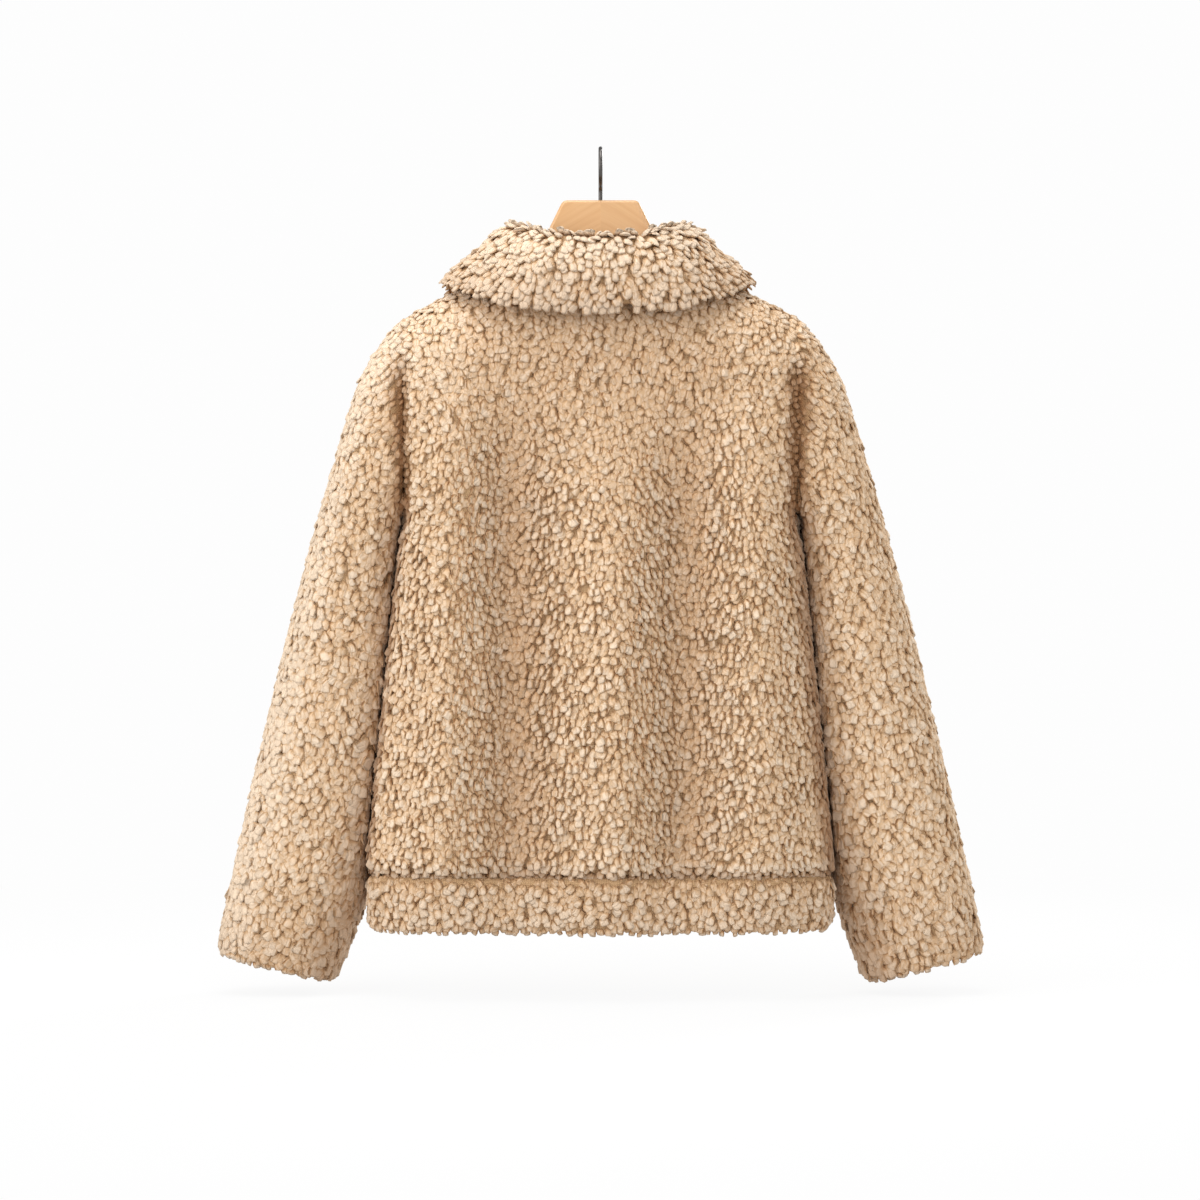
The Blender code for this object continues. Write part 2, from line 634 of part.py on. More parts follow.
def make_pull(finish):
    """The pull tab, hanging from its bar; its origin is the bar's middle, on the hinge's axis."""
    width, thickness, length = PULL_SIZE
    axis = (0, slider_face_y() - AXIS_OFF_SLIDER, SLIDER_Z)
    eye_width, eye_length = PULL_EYE
    top, eye_top = PULL_BAR / 2, -PULL_BAR / 2
    eye_bottom = eye_top - eye_length
    foot = top - length
    corner = width * 0.25
    rows = np.array([top, eye_top, eye_bottom, foot + corner, foot])
    half_widths = np.array([width / 2, width / 2, width / 2, width / 2, width / 2 - corner])
    layers = []
    for y in (-thickness / 2, thickness / 2):
        for z, half in zip(rows, half_widths):
            inner = min(eye_width / 2, half / 2)
            layers += [(x, y, z) for x in (-half, -inner, inner, half)]
    count = len(rows) * 4
    faces = []
    for row in range(len(rows) - 1):
        for column in range(3):
            if (row, column) == (1, 1):
                continue
            corners = [row * 4 + column, row * 4 + column + 1, row * 4 + column + 5, row * 4 + column + 4]
            faces.append(corners)
            faces.append([count + corner for corner in corners])
    outline = [0, 1, 2, 3, 7, 11, 15, 19, 18, 17, 16, 12, 8, 4]
    eye = [5, 6, 10, 9]
    for loop in (outline, eye):
        for start, end in zip(loop, loop[1:] + loop[:1]):
            faces.append([start, end, count + end, count + start])
    tab = solid("zip_pull", layers, faces, finish)
    tab.location = axis


# The hanger


def make_hanger(finish):
    seam = half_panel(BACK, 1)[1][-1, NECK_CELLS:]
    block_x = HANGER_BLOCK.key
    arm_x = np.linspace(*HANGER_ARM_X, HANGER_ARM_STATIONS)
    arm_z = np.interp(arm_x, seam[:, 0], seam[:, 2]) - HANGER_CLEARANCE
    tip_z = arm_z[-1] - HANGER_TIP_DROP
    right_x = np.concatenate([block_x[1:], arm_x, [HANGER_TIP_X]])
    right_z = np.concatenate([HANGER_BLOCK.columns["z"][1:], arm_z, [tip_z]])
    stations = np.concatenate([-right_x[::-1], [0], right_x])
    top = np.concatenate([right_z[::-1], [HANGER_TOP_Z], right_z])
    underside = HANGER_UNDERSIDE.read("z", np.abs(stations))
    underside[0] += HANGER_TIP_DROP
    underside[-1] += HANGER_TIP_DROP
    half = HANGER_THICKNESS / 2
    rounding = HANGER_ROUNDING
    turn = math.sqrt(0.5)
    corner = [(half, 1.0), (half - rounding * (1 - turn), 1 - turn), (half - rounding, 0.0)]
    loops = []
    for x, high, low in zip(stations, top, underside):
        upper = [(x, y, high - rounding * share) for y, share in corner]
        upper += [(x, -y, z) for x, y, z in reversed(upper)]
        lower = [(x, -y, low + rounding * share) for y, share in corner]
        lower += [(x, -y, z) for x, y, z in reversed(lower)]
        loops.append(upper + lower)
    count = len(loops[0])
    faces = [list(range(count)), list(range((len(loops) - 1) * count, len(loops) * count))]
    for station in range(len(loops) - 1):
        for index in range(count):
            after = (index + 1) % count
            start = station * count
            faces.append([start + index, start + after, start + count + after, start + count + index])
    hanger = solid("hanger", [point for loop in loops for point in loop], faces, finish)
    cutter_mesh = bpy.data.meshes.new("bore")
    shape = bmesh.new()
    depth = HANGER_TOP_Z - SHANK_BOTTOM_Z + 0.01
    radii = {"radius1": BORE_RADIUS, "radius2": BORE_RADIUS}
    bmesh.ops.create_cone(shape, cap_ends=True, segments=BORE_SIDES, depth=depth, **radii)
    shape.to_mesh(cutter_mesh)
    shape.free()
    bore = add_object("bore", cutter_mesh, finish)
    bore.location.z = SHANK_BOTTOM_Z - SEAM_GAP + depth / 2
    combine(hanger, bore, "DIFFERENCE")


def make_hook(finish):
    """The wire: a straight shank, a bend off to the back, and the hook round a rail, open to the front."""
    centre_z = WIRE_RADIUS - HOOK_RADIUS
    drop = centre_z - SHANK_TOP_Z
    bend_radius = (drop**2 - HOOK_RADIUS**2) / (2 * HOOK_RADIUS)
    joint = math.atan2(-drop, bend_radius)
    path = [(0, SHANK_BOTTOM_Z), (0, SHANK_TOP_Z)]
    for angle in np.linspace(math.pi, joint + math.pi, BEND_POINTS)[1:]:
        path.append((bend_radius * (1 + math.cos(angle)), SHANK_TOP_Z + bend_radius * math.sin(angle)))
    for angle in np.linspace(joint, HOOK_END_ANGLE, HOOK_POINTS)[1:]:
        path.append((HOOK_RADIUS * math.cos(angle), centre_z + HOOK_RADIUS * math.sin(angle)))
    curve = bpy.data.curves.new("hook", "CURVE")
    curve.dimensions = "3D"
    curve.bevel_depth = WIRE_RADIUS
    curve.bevel_resolution = 2
    curve.use_fill_caps = True
    spline = curve.splines.new("POLY")
    spline.points.add(len(path) - 1)
    for point, (y, z) in zip(spline.points, path):
        point.co = (0, y, z, 1)
    add_object("hook", curve, finish)


def main():
    for old in list(bpy.data.objects):
        bpy.data.objects.remove(old)
    fleece = material("fleece", (0.60, 0.42, 0.27), 0.95)
    tape = material("zip tape", (0.42, 0.29, 0.18), 0.9)
    metal = material("zip metal", (0.62, 0.58, 0.50), 0.35, 1.0)
    wood = material("beech", (0.80, 0.46, 0.22), 0.45)
    steel = material("steel wire", (0.70, 0.70, 0.70), 0.25, 1.0)
    make_back(fleece)
    make_front("front_left", 1, fleece)
    make_front("front_right", -1, fleece)
    make_sleeve("sleeve_left", 1, fleece)
    make_sleeve("sleeve_right", -1, fleece)
    make_collar(fleece)
    make_hem_band(fleece)
    zip_strip("zip_tape_left", TAPE_WIDTH, TAPE_DEPTH, tape)
    zip_strip("zip_tape_right", (-TAPE_WIDTH[1], -TAPE_WIDTH[0]), TAPE_DEPTH, tape)
    zip_strip("zip_chain", (-CHAIN_HALF_WIDTH, CHAIN_HALF_WIDTH), CHAIN_DEPTH, metal)
    make_slider(metal)
    make_pull(metal)
    make_hanger(wood)
    make_hook(steel)


main()
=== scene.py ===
"""A short teddy fleece jacket on a wooden hanger: the looks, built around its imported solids.

Metres, +Z up. The jacket's front faces -Y and its back +Y, and the wearer's left is +X. Each panel is a thin
knitted backing, cut to the same tables as its solid, and carries its own pile of curly locks.
"""

import math

import bmesh
import bpy
import numpy as np
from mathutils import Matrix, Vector


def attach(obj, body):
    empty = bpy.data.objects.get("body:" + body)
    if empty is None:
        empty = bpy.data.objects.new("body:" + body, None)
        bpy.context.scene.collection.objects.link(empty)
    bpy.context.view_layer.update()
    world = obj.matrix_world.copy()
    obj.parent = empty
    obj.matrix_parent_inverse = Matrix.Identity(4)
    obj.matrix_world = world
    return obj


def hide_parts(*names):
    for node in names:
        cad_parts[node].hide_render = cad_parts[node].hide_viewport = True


# Camera: level with the jacket's middle, looking at its back. At this distance and lens it sees 1.2 m across.
CAMERA_AT = (0.0005, 3.33, -0.449)
CAMERA_LENS = 100.0
CAMERA_SENSOR = 36.0

# Studio: each light's place, its size and its power
LIGHTS = {
    "key": ((2.9, 1.7, 0.9), 3.4, 76.0),
    "fill": ((-1.4, 2.9, 0.8), 2.6, 31.0),
    "top": ((0.3, 0.5, 2.0), 2.2, 46.0),
    "front_key": ((-2.0, -2.4, 1.0), 1.4, 60.0),
}
LIGHTS_AIM = (0.0, 0.0, -0.44)
WHITE_SURROUND = (0.984, 0.984, 0.984)
AMBIENT = 0.46
FLOOR_Z = -0.845
FLOOR_RADIUS = 12.0
FLOOR_GLOW = 0.92
# How far from the middle the floor starts to fade into the background, and where it has
FLOOR_FADE = (0.55, 1.5)

# Colours. Those of the pile go from the painted shade of its creases to its tips, and those of the beech from
# dark grain to light, each at a place between 0 and 1.
PILE_COLOURS = (
    (0.12, (0.340, 0.145, 0.050)),
    (0.50, (0.680, 0.442, 0.250)),
    (0.85, (0.785, 0.616, 0.456)),
)
KNIT = (0.600, 0.400, 0.225)
KNIT_SHADE = (0.360, 0.210, 0.100)
# The tint of the painted shade that darkens the cloth where shade falls
PAINTED_SHADE_TINT = (0.330, 0.185, 0.085)
TAPE = (0.450, 0.320, 0.200)
TAPE_SHADE = (0.330, 0.225, 0.135)
TOOTH = (0.560, 0.500, 0.400)
BEECH_COLOURS = (
    (0.30, (0.620, 0.345, 0.148)),
    (0.50, (0.665, 0.390, 0.180)),
    (0.72, (0.700, 0.430, 0.210)),
)
STEEL = (0.105, 0.098, 0.092)
FLOOR = (0.9, 0.9, 0.9)

# Cloth
BACKING = 0.003
PILE = 0.008
WALL = BACKING + PILE
COLLAR_WALL = 0.014
SEAM_GAP = 0.0004
HEM_EDGE_SET_BACK = 0.005

# Heights and half-widths of the cut
HEM_Z = -0.779
BAND_SEAM_Z = -0.719
UNDERARM_Z = -0.365
ARMHOLE_X = 0.195
NECK_X = 0.078
ZIP_HALF_GAP = 0.006
SHOULDER_ROUND = 0.090
ARMHOLE_START_Z = -0.420
ARMHOLE_END_Z = -0.270
SECTION_POWER = 3.0
SECTION_DEPTH_TO_WIDTH = 0.28
SLEEVE_POWER = 2.3
BACK, FRONT = 1, -1
UP = np.array([0, 0, 1])

# Soft steps on the panels: where each starts, and how far on it ends. The groove along an armhole starts
# below the shoulder and ends above the underarm.
BELOW_SHOULDER = (-0.190, -0.045)
ABOVE_UNDERARM = (UNDERARM_Z, 0.030)
BELOW_UNDERARM = (UNDERARM_Z, -0.020)
GROOVE_OUT = (0.0, 0.013)
MEETING_OUT = (0.0, 0.020)
SLEEVE_INSIDE = (-0.10, -0.75)
SLEEVE_MEETING = (-0.3, -0.4)
SLEEVE_MEETING_DOWN = (0.012, 0.020)
SLEEVE_CREASE = (0.002, 0.024)
CUFF_DOWN = (-0.700, -0.090)
PAINTED_LIGHT_SLEEVE = (0.1, 0.7)
PAINTED_LIGHT_SHOULDER_OUT = (0.10, 0.07)
PAINTED_LIGHT_SHOULDER_UP = (-0.30, 0.10)
UNDER_COLLAR_UP = (-0.340, 0.140)
UNDER_COLLAR_OUT = (0.10, 0.06)
BAND_SEAM_UP = (BAND_SEAM_Z, 0.005)
BAND_SEAM_DOWN = (BAND_SEAM_Z, -0.005)
BAND_TOP_DOWN = (BAND_SEAM_Z, -0.007)
ZIP_OUT = (ZIP_HALF_GAP, 0.012)
ZIP_TOP_OUT = (0.0, 0.016)
TO_CUFF = (0.0, 0.012)
TO_COLLAR_EDGE = (0.0, 0.014)
COLLAR_POINT_OUT = (0.07, 0.06)
PAINTED_LIGHT_COLLAR_OUT = (0.02, 0.08)
# On the collar, in rows counted from its fold: two more soft steps, the middles and widths of bell curves,
# the row above which the nap turns round, and the one above which its neck side can have pile
COLLAR_FALL = (1.5, 4.0)
PAINTED_LIGHT_COLLAR_FOLD = (0.2, 1.8)
ON_FOLD = (0.0, 0.9)
BEHIND_FOLD = (-1.1, 1.0)
PARTING = (-1.4, 0.7)
PARTING_ROW = -0.9
LINED_ROW = -1.0
# Round the neck, from 0 at the back to 2 at the zip, where the collar's ends and the pile on both sides start
COLLAR_FRONT = 1.5
COLLAR_LINED = 1.55

# How far below the panel's outer face the locks part. Where the pile is unlike the rest: how large its locks
# are beside the others, and how far below that face they part.
LOCKS_PART_AT = 0.0041
ARMHOLE_LOCKS = (0.60, 0.0095)
UNDERARM_LOCKS = (1.15, 0.0025)
SLEEVE_INSIDE_LOCKS = (1.20, 0.0025)
CUFF_LOCKS = (0.62, 0.0040)
BODY_HEM_LOCKS = (0.80, 0.0085)
BAND_TOP_LOCKS = (0.72, 0.0085)
FRONT_EDGE_LOCKS = (0.60, 0.0085)
BAND_END_LOCKS = (0.65, 0.0085)
FOLD_LOCKS = (0.92, 0.0064)
PARTING_LOCKS = (0.85, 0.0075)
ZIP_TOP_LOCKS = (0.55, 0.0060)
COLLAR_EDGE_DEPTH = 0.0055
COLLAR_EDGE_SIZES = (0.95, 0.70)
# How far the locks at an edge turn in over it, and how far those on the collar's fold stand up
CUFF_TURN = 0.9
COLLAR_TURN = 0.15
FOLD_STAND = 0.50
# How far up, and how far away from the neck, the pile behind the fold is turned
BEHIND_FOLD_TURN = (1.1, 0.9)

# Painted shade: how much darker and warmer the cloth's colour is made in its deep places and where shade
# falls
BESIDE_SLEEVE_SHADE = 0.80
SLEEVE_INSIDE_SHADE = 0.50
CUFF_SHADE = 0.14
BODY_HEM_SHADE = 0.50
TROUGH_SHADE = 0.38
TROUGH_DEPTH = 0.009
UNDER_COLLAR_SHADE = 0.18
COLLAR_FALL_SHADE = 0.26
BAND_SHADE = 0.14
BAND_TOP_SHADE = 0.60
# Where the painted shade of the crease beside a sleeve starts on the body, and how wide it is at the wearer's
# right and left
SIDE_CREASE_START = 0.001
SIDE_CREASE_WIDTHS = (0.019, 0.006)
# Painted light: how much paler the pile's creases are made on the shoulder and the sleeve at the wearer's
# left, which face the key light, and on the collar's fold and its left half
SHOULDER_PAINTED_LIGHT = 0.3
SLEEVE_PAINTED_LIGHT = 0.8
FOLD_PAINTED_LIGHT = 0.9
COLLAR_PAINTED_LIGHT = 0.4
# How large the sleeve's locks are at the armhole, and how much larger at the cuff
SLEEVE_LOCK_SIZES = (0.94, 0.16)

# How finely the panels are divided
NECK_CELLS = 18
SHOULDER_CELLS = 21
ROWS_BELOW_ARM = 27
ROWS_ABOVE_ARM = 36
ROW_SPACING_POWER = 1.15
SLEEVE_RINGS = 52
RING_SPACING_POWER = 1.1
SLEEVE_SIDES = 60
BAND_ROWS = 16
COLLAR_FINER = 3
ZIP_ROWS = 60
CURVE_SAMPLES = 400

# Rounded outlines: the angle from which a corner is left as it is, and how much of an edge its arc may take
NEARLY_STRAIGHT = math.radians(170)
ARC_SHARE = 0.45

# Zip
TAPE_X = (0.0032, 0.0220)
TAPE_DEPTH = (WALL + 0.0007, WALL + 0.0017)
TAPE_CELLS = 6
CHAIN_DEPTH = (WALL - 0.0005, WALL + 0.0019)
TOOTH_PITCH = 0.0025
TOOTH_ROUNDING = 0.0003
# Half of a tooth's outline, from its foot at the tape to its head
TOOTH_HALF = (
    *((0.0027, 0.0), (0.0027, 0.0006), (0.0008, 0.0006), (-0.0001, 0.0004)),
    *((-0.0006, 0.00062), (-0.0012, 0.0005), (-0.0014, 0.0)),
)
ZIP_TOP_Z = -0.192
ZIP_BOTTOM_Z = HEM_Z + 0.0025
SLIDER_Z = -0.203
SLIDER_DEPTH = 0.0032
SLIDER_HALF = ((0.0040, 0.0070), (0.00475, 0.0052), (0.00475, 0.0010), (0.0032, -0.0062), (0.0026, -0.0070))
# How round the slider's corners and its rims are, and the same for the arch on it
SLIDER_ROUNDING = (0.0008, 0.0007)
ARCH_ROUNDING = (0.0009, 0.0003)
ARCH_WIDTH = 0.002
ARCH_HALF = 0.0046
ARCH_BAR = 0.0012
PULL_SIZE = (0.007, 0.0015, 0.030)
PULL_EYE = (0.0032, 0.005)
PULL_BAR = 0.0015
PULL_EDGE = 0.00035
PULL_CORNER = 0.0018
AXIS_OFF_SLIDER = 0.0013
ARCH_OFF_AXIS = 0.0015

# Hanger and hook
HANGER_THICKNESS = 0.013
HANGER_CLEARANCE = 0.0008
HANGER_ROUNDING = 0.0035
HANGER_CORNER = 0.0075
HANGER_ARM_POINTS = 12
HANGER_UNDERSIDE_POINTS = 20
HANGER_ARM_X = (0.095, 0.183)
HANGER_TIP_X = 0.187
HANGER_TIP_DROP = 0.006
HANGER_BLOCK = (
    *((0.0000, -0.0500), (0.0375, -0.0500), (0.0505, -0.0765), (0.0560, -0.1000)),
    *((0.0600, -0.1200), (0.0650, -0.1290), (0.0800, -0.1335)),
)
WIRE_RADIUS = 0.002
WIRE_SIDES = 20
HOOK_RADIUS = 0.019
SHANK_TOP_Z = -0.043
SHANK_BOTTOM_Z = -0.078
HOOK_END_ANGLE = math.radians(205)
# How many points the wire has along its shank, its bend, its hook and its rounded end
SHANK_POINTS = 8
BEND_POINTS = 14
HOOK_POINTS = 72
END_POINTS = 6

# The locks on each kind of panel: how far apart they grow, how wide, thick and long one is, how far it stands
# off the cloth, and how much it strays from the nap
LOCK_COLUMNS = ("Spacing", "Lock size", "Stand", "Stray")
LOCKS = {
    "body": (0.0048, (0.0108, 0.0040, 0.0106), 0.17, 0.50),
    "sleeve": (0.0050, (0.0110, 0.0041, 0.0112), 0.17, 0.50),
    "collar": (0.0049, (0.0102, 0.0045, 0.0120), 0.28, 0.48),
    "band": (0.0052, (0.0106, 0.0044, 0.0110), 0.25, 0.60),
}
LOCK_DENSITY = 90000.0
RELAXING_ROUNDS = 9
RELAXED_SPACING = 1.34
# How locks vary: in width, thickness and length, and in their turn about their own length
LOCK_VARIES = ((0.82, 1.18), (0.92, 1.08), (0.85, 1.15))
LOCK_TWIST = 0.45
# How much of a lock's stray out of the cloth and into it is taken away
STRAY_FLATTENED = 0.85
STRAY_SEED, TWIST_SEED, SIZE_SEED, SHAPE_SEED, TINT_SEED = 11, 12, 13, 17, 18
# Round a lock: how far across and out each corner is, and how pale, with painted shade on its lower corners
LOCK_SECTION = ((-1, -0.60, 0.80), (-0.68, 0.46, 1), (0, 0.90, 1), (0.68, 0.46, 1), (1, -0.60, 0.80))
# Along it: how far along, how wide and thick, how far out its middle is, and how pale; its darker root is
# partly its own colour and partly painted shade
LOCK_RINGS = (
    (0.00, 0.80, 0.90, 0.00, 0.45),
    (0.42, 1.00, 1.00, 0.04, 0.92),
    (0.86, 0.90, 0.76, -0.10, 1.00),
    (1.00, 0.00, 0.00, -0.50, 0.80),
)
# How high the crown of each shape of lock is, how far it swings to a side, and how it slants
LOCK_SHAPES = (
    (0.10, 0.04, 0.05),
    (-0.30, -0.10, -0.10),
    (0.00, 0.12, 0.12),
    (0.20, -0.05, -0.15),
    (-0.20, 0.08, 0.02),
)
# How far the nap turns away from the crest of a fold, and how much steeper than it is a fold is shaded
NAP_SPREAD = 0.9
FOLD_SHADING = 2.3

# How much of the locks' shading follows the cloth below, and for which angles between the two
CLOTH_SHADING = 0.90
CLOTH_SHADING_COSINES = (-0.25, 0.45)
# Where a lock's pale top turns to its rim of painted shade, across it and towards its tip, and by how much
RIM_ACROSS = (0.60, 0.86)
RIM_ALONG = (0.82, 0.98)
RIM_SHADE = 0.40
TIP_SHADE = 0.2
# Between these heights over the pile's roots the painted shade of the creases gives way to the colour of the
# tips.
TIP_HEIGHTS = (0.0024, 0.0048)
CREASE_SHADE = 0.34
STRAND_SHADE = 0.14
# How bright the darkest lock is, and what its tint, its ridges and its strands add
LOCK_SHADES = (0.84, 0.10, 0.10, 0.05)
# A lock's ridges wander by a soft pattern, with these scales across it, along it and by its tint. They turn
# across it, along it, by that pattern and by its tint. Its strands are finer than they are, and wander too.
WANDER_SCALES = (1.4, 1.8, 61.0)
RIDGE_TURNS = (2.2, 0.3, 2.4, 9.0)
STRAND_TURNS = (3.0, 2.0)
RIM_WANDERS = 0.3
TIP_WANDERS = 0.1
STRAND_RELIEF = 0.3

# Each finish's relief: its strength, and how high it is
PILE_RELIEF = (0.6, 0.0007)
KNIT_RELIEF = (0.6, 0.0006)
TAPE_RELIEF = (0.5, 0.0003)
BOARD_RELIEF = (0.12, 0.0006)

# The knit: a stitch's width and height, how it slants to its middle, how square its edges are, and how much
# of the shade comes from it and from the fuzz
STITCH = (0.0022, 0.0018)
STITCH_SLANT = 1.1
STITCH_SQUARE = 4.0
KNIT_SHADES = (0.7, 0.5)
FUZZ_RELIEF = 0.5
FUZZ_PER_METRE = 900.0
# The tape's ribs, and how far its zigzags shift them
RIBS_PER_METRE = 900.0
ZIGZAGS_PER_METRE = 260.0
ZIGZAG_DEPTH = 2.0
# The darkest shade of rubbed metal, and what its marks add
METAL_SHADES = (0.9, 0.2)
RUBS_PER_METRE = 350.0

# The beech's grain wobbles, by a pattern with these scales along a board, from board to board and up. The
# scales of the grain and of its flecks are across the grain, along the board and through it. The two boards'
# grain lies apart in its pattern.
WOBBLE_SCALES = (9.0, 3.0, 14.0)
WOBBLE = 0.012
GRAIN_SCALES = (210.0, 5.0, 40.0)
FLECK_SCALES = (900.0, 60.0, 500.0)
BOARDS_APART = 7.0
GRAIN_SHARE = 0.75
FLECK_RELIEF = 0.4
# How steeply the boards' grain rises, how it bends, and from where to where their joint fades out
GRAIN_SLOPE = 0.52
GRAIN_BEND = 2.2
BOARD_JOINT = (0.0001, 0.0005)
# How bright the boards are, by how much each differs from that, and how much paler their joint is
BOARD_SHADE = 0.97
BOARDS_DIFFER = 0.015
JOINT_PALER = 0.0256


# Node trees


class Wire:
    """A node's output. Arithmetic on it adds Math nodes."""

    def __init__(self, tree, socket):
        self.tree = tree
        self.socket = socket

    def math(self, operation, *others):
        return self.tree.math(operation, self, *others)

    def __add__(self, other):
        return self.math("ADD", other)

    def __sub__(self, other):
        return self.math("SUBTRACT", other)

    def __rsub__(self, other):
        return self.tree.math("SUBTRACT", other, self)

    def __mul__(self, other):
        return self.math("MULTIPLY", other)

    __radd__ = __add__
    __rmul__ = __mul__

    def absolute(self):
        return self.math("ABSOLUTE")

    def fraction(self):
        return self.math("FRACT")

    def arch(self):
        """0 at 0 and at 1, and 1 halfway."""
        return (self * math.pi).math("SINE")

    def wave(self):
        """Between 0 and 1, once up and down for each whole number."""
        return (self * (2 * math.pi)).math("SINE") * 0.5 + 0.5

    def clamped(self):
        return self.math("MAXIMUM", 0.0).math("MINIMUM", 1.0)

    def step(self, start, end):
        """0 before start, 1 after end, and a soft step between them."""
        settings = {"interpolation_type": "SMOOTHSTEP"}
        inputs = {"Value": self, "From Min": start, "From Max": end}
        return self.tree.node("ShaderNodeMapRange", settings, inputs)


class Tree:
    """A node tree that is built by calls."""

    def __init__(self, nodes_of):
        self.data = nodes_of

    def new(self, kind, settings=None, inputs=None):
        """A node, whose settings are set first, and then the values or links of its sockets."""
        made = self.data.nodes.new(kind)
        for name, value in (settings or {}).items():
            if name == "stops":
                self.set_stops(made.color_ramp, value)
            else:
                setattr(made, name, value)
        for key, value in (inputs or {}).items():
            self.feed(made.inputs[key], value)
        return made

    def node(self, kind, settings=None, inputs=None, output=0):
        """The output of a new node."""
        return Wire(self, self.new(kind, settings, inputs).outputs[output])

    def feed(self, socket, value):
        if isinstance(value, Wire):
            self.data.links.new(value.socket, socket)
        elif isinstance(value, tuple) and any(isinstance(part, Wire) for part in value):
            self.feed(socket, self.node("ShaderNodeCombineXYZ", inputs=dict(zip("XYZ", value))))
        elif isinstance(value, tuple) and len(value) == 3 and socket.type == "RGBA":
            socket.default_value = (*value, 1.0)
        else:
            socket.default_value = value

    @staticmethod
    def set_stops(ramp, stops):
        while len(ramp.elements) < len(stops):
            ramp.elements.new(0.5)
        for element, (place, colour) in zip(ramp.elements, stops):
            element.position = place
            element.color = (*colour, 1.0)

    def math(self, operation, *values):
        return self.node("ShaderNodeMath", {"operation": operation}, dict(enumerate(values)))

    def vector(self, operation, *values, output=0):
        return self.node("ShaderNodeVectorMath", {"operation": operation}, dict(enumerate(values)), output)

    def dot(self, first, second):
        return self.vector("DOT_PRODUCT", first, second, output=1)

    def scaled(self, vector, factor):
        return self.node("ShaderNodeVectorMath", {"operation": "SCALE"}, {0: vector, "Scale": factor})

    def parts(self, vector):
        return [self.node("ShaderNodeSeparateXYZ", inputs={0: vector}, output=axis) for axis in range(3)]

    def attribute(self, name, output="Fac"):
        return self.node("ShaderNodeAttribute", {"attribute_name": name}, output=output)

    def uv(self, name):
        return self.node("ShaderNodeUVMap", {"uv_map": name})

    def place(self):
        return self.node("ShaderNodeTexCoord", output="Object")

    def noise(self, at, scale, detail=2.0, roughness=0.5):
        inputs = {"Vector": at, "Scale": scale, "Detail": detail, "Roughness": roughness}
        return self.node("ShaderNodeTexNoise", inputs=inputs)

    def mix(self, factor, first, second, blend="MIX"):
        """A colour between two colours, or towards the two multiplied."""
        settings = {"data_type": "RGBA", "blend_type": blend}
        return self.node("ShaderNodeMix", settings, {0: factor, 6: first, 7: second}, output=2)

    def tinted(self, colour, factor):
        """A colour made darker or lighter by a factor."""
        grey = self.node("ShaderNodeCombineColor", inputs={0: factor, 1: factor, 2: factor})
        return self.mix(1.0, colour, grey, "MULTIPLY")

    def with_painted_shade(self, colour):
        """A colour of the cloth with painted shade: darker and warmer where shade falls on it."""
        return self.mix(self.attribute("deep"), colour, PAINTED_SHADE_TINT, "MULTIPLY")

    def ramp(self, factor, *stops):
        """The colour at a factor, from stops that are each a place and a colour."""
        return self.node("ShaderNodeValToRGB", {"stops": stops}, {"Fac": factor})

    def bump(self, height, strength, distance, normal=None):
        inputs = {"Height": height, "Strength": strength, "Distance": distance}
        if normal:
            inputs["Normal"] = normal
        return self.node("ShaderNodeBump", inputs=inputs)

    def random(self, kind, low, high, seed):
        """A number or a vector for each point, between two limits."""
        first, output = {"FLOAT_VECTOR": (0, 0), "FLOAT": (2, 1), "INT": (4, 2)}[kind]
        inputs = {first: low, first + 1: high, "Seed": seed}
        return self.node("FunctionNodeRandomValue", {"data_type": kind}, inputs, output)

    def nearest_on(self, surface, at, output=0):
        """The nearest place on a surface, or with output 1 the distance to it."""
        inputs = {"Geometry": surface, "Sample Position": at}
        return self.node("GeometryNodeProximity", {"target_element": "FACES"}, inputs, output)

    def instance(self, shape):
        return self.node("GeometryNodeObjectInfo", inputs={"Object": shape, "As Instance": True}, output=4)

    def realized(self, instances):
        return self.node("GeometryNodeRealizeInstances", inputs={"Geometry": instances})


def new_material(name, values):
    """A material with these values on its Principled surface: it, its tree and the surface's inputs."""
    made = bpy.data.materials.new(name)
    made.use_nodes = True
    surface = made.node_tree.nodes["Principled BSDF"].inputs
    for label, value in values.items():
        surface[label].default_value = value
    return made, Tree(made.node_tree), surface


# Finishes


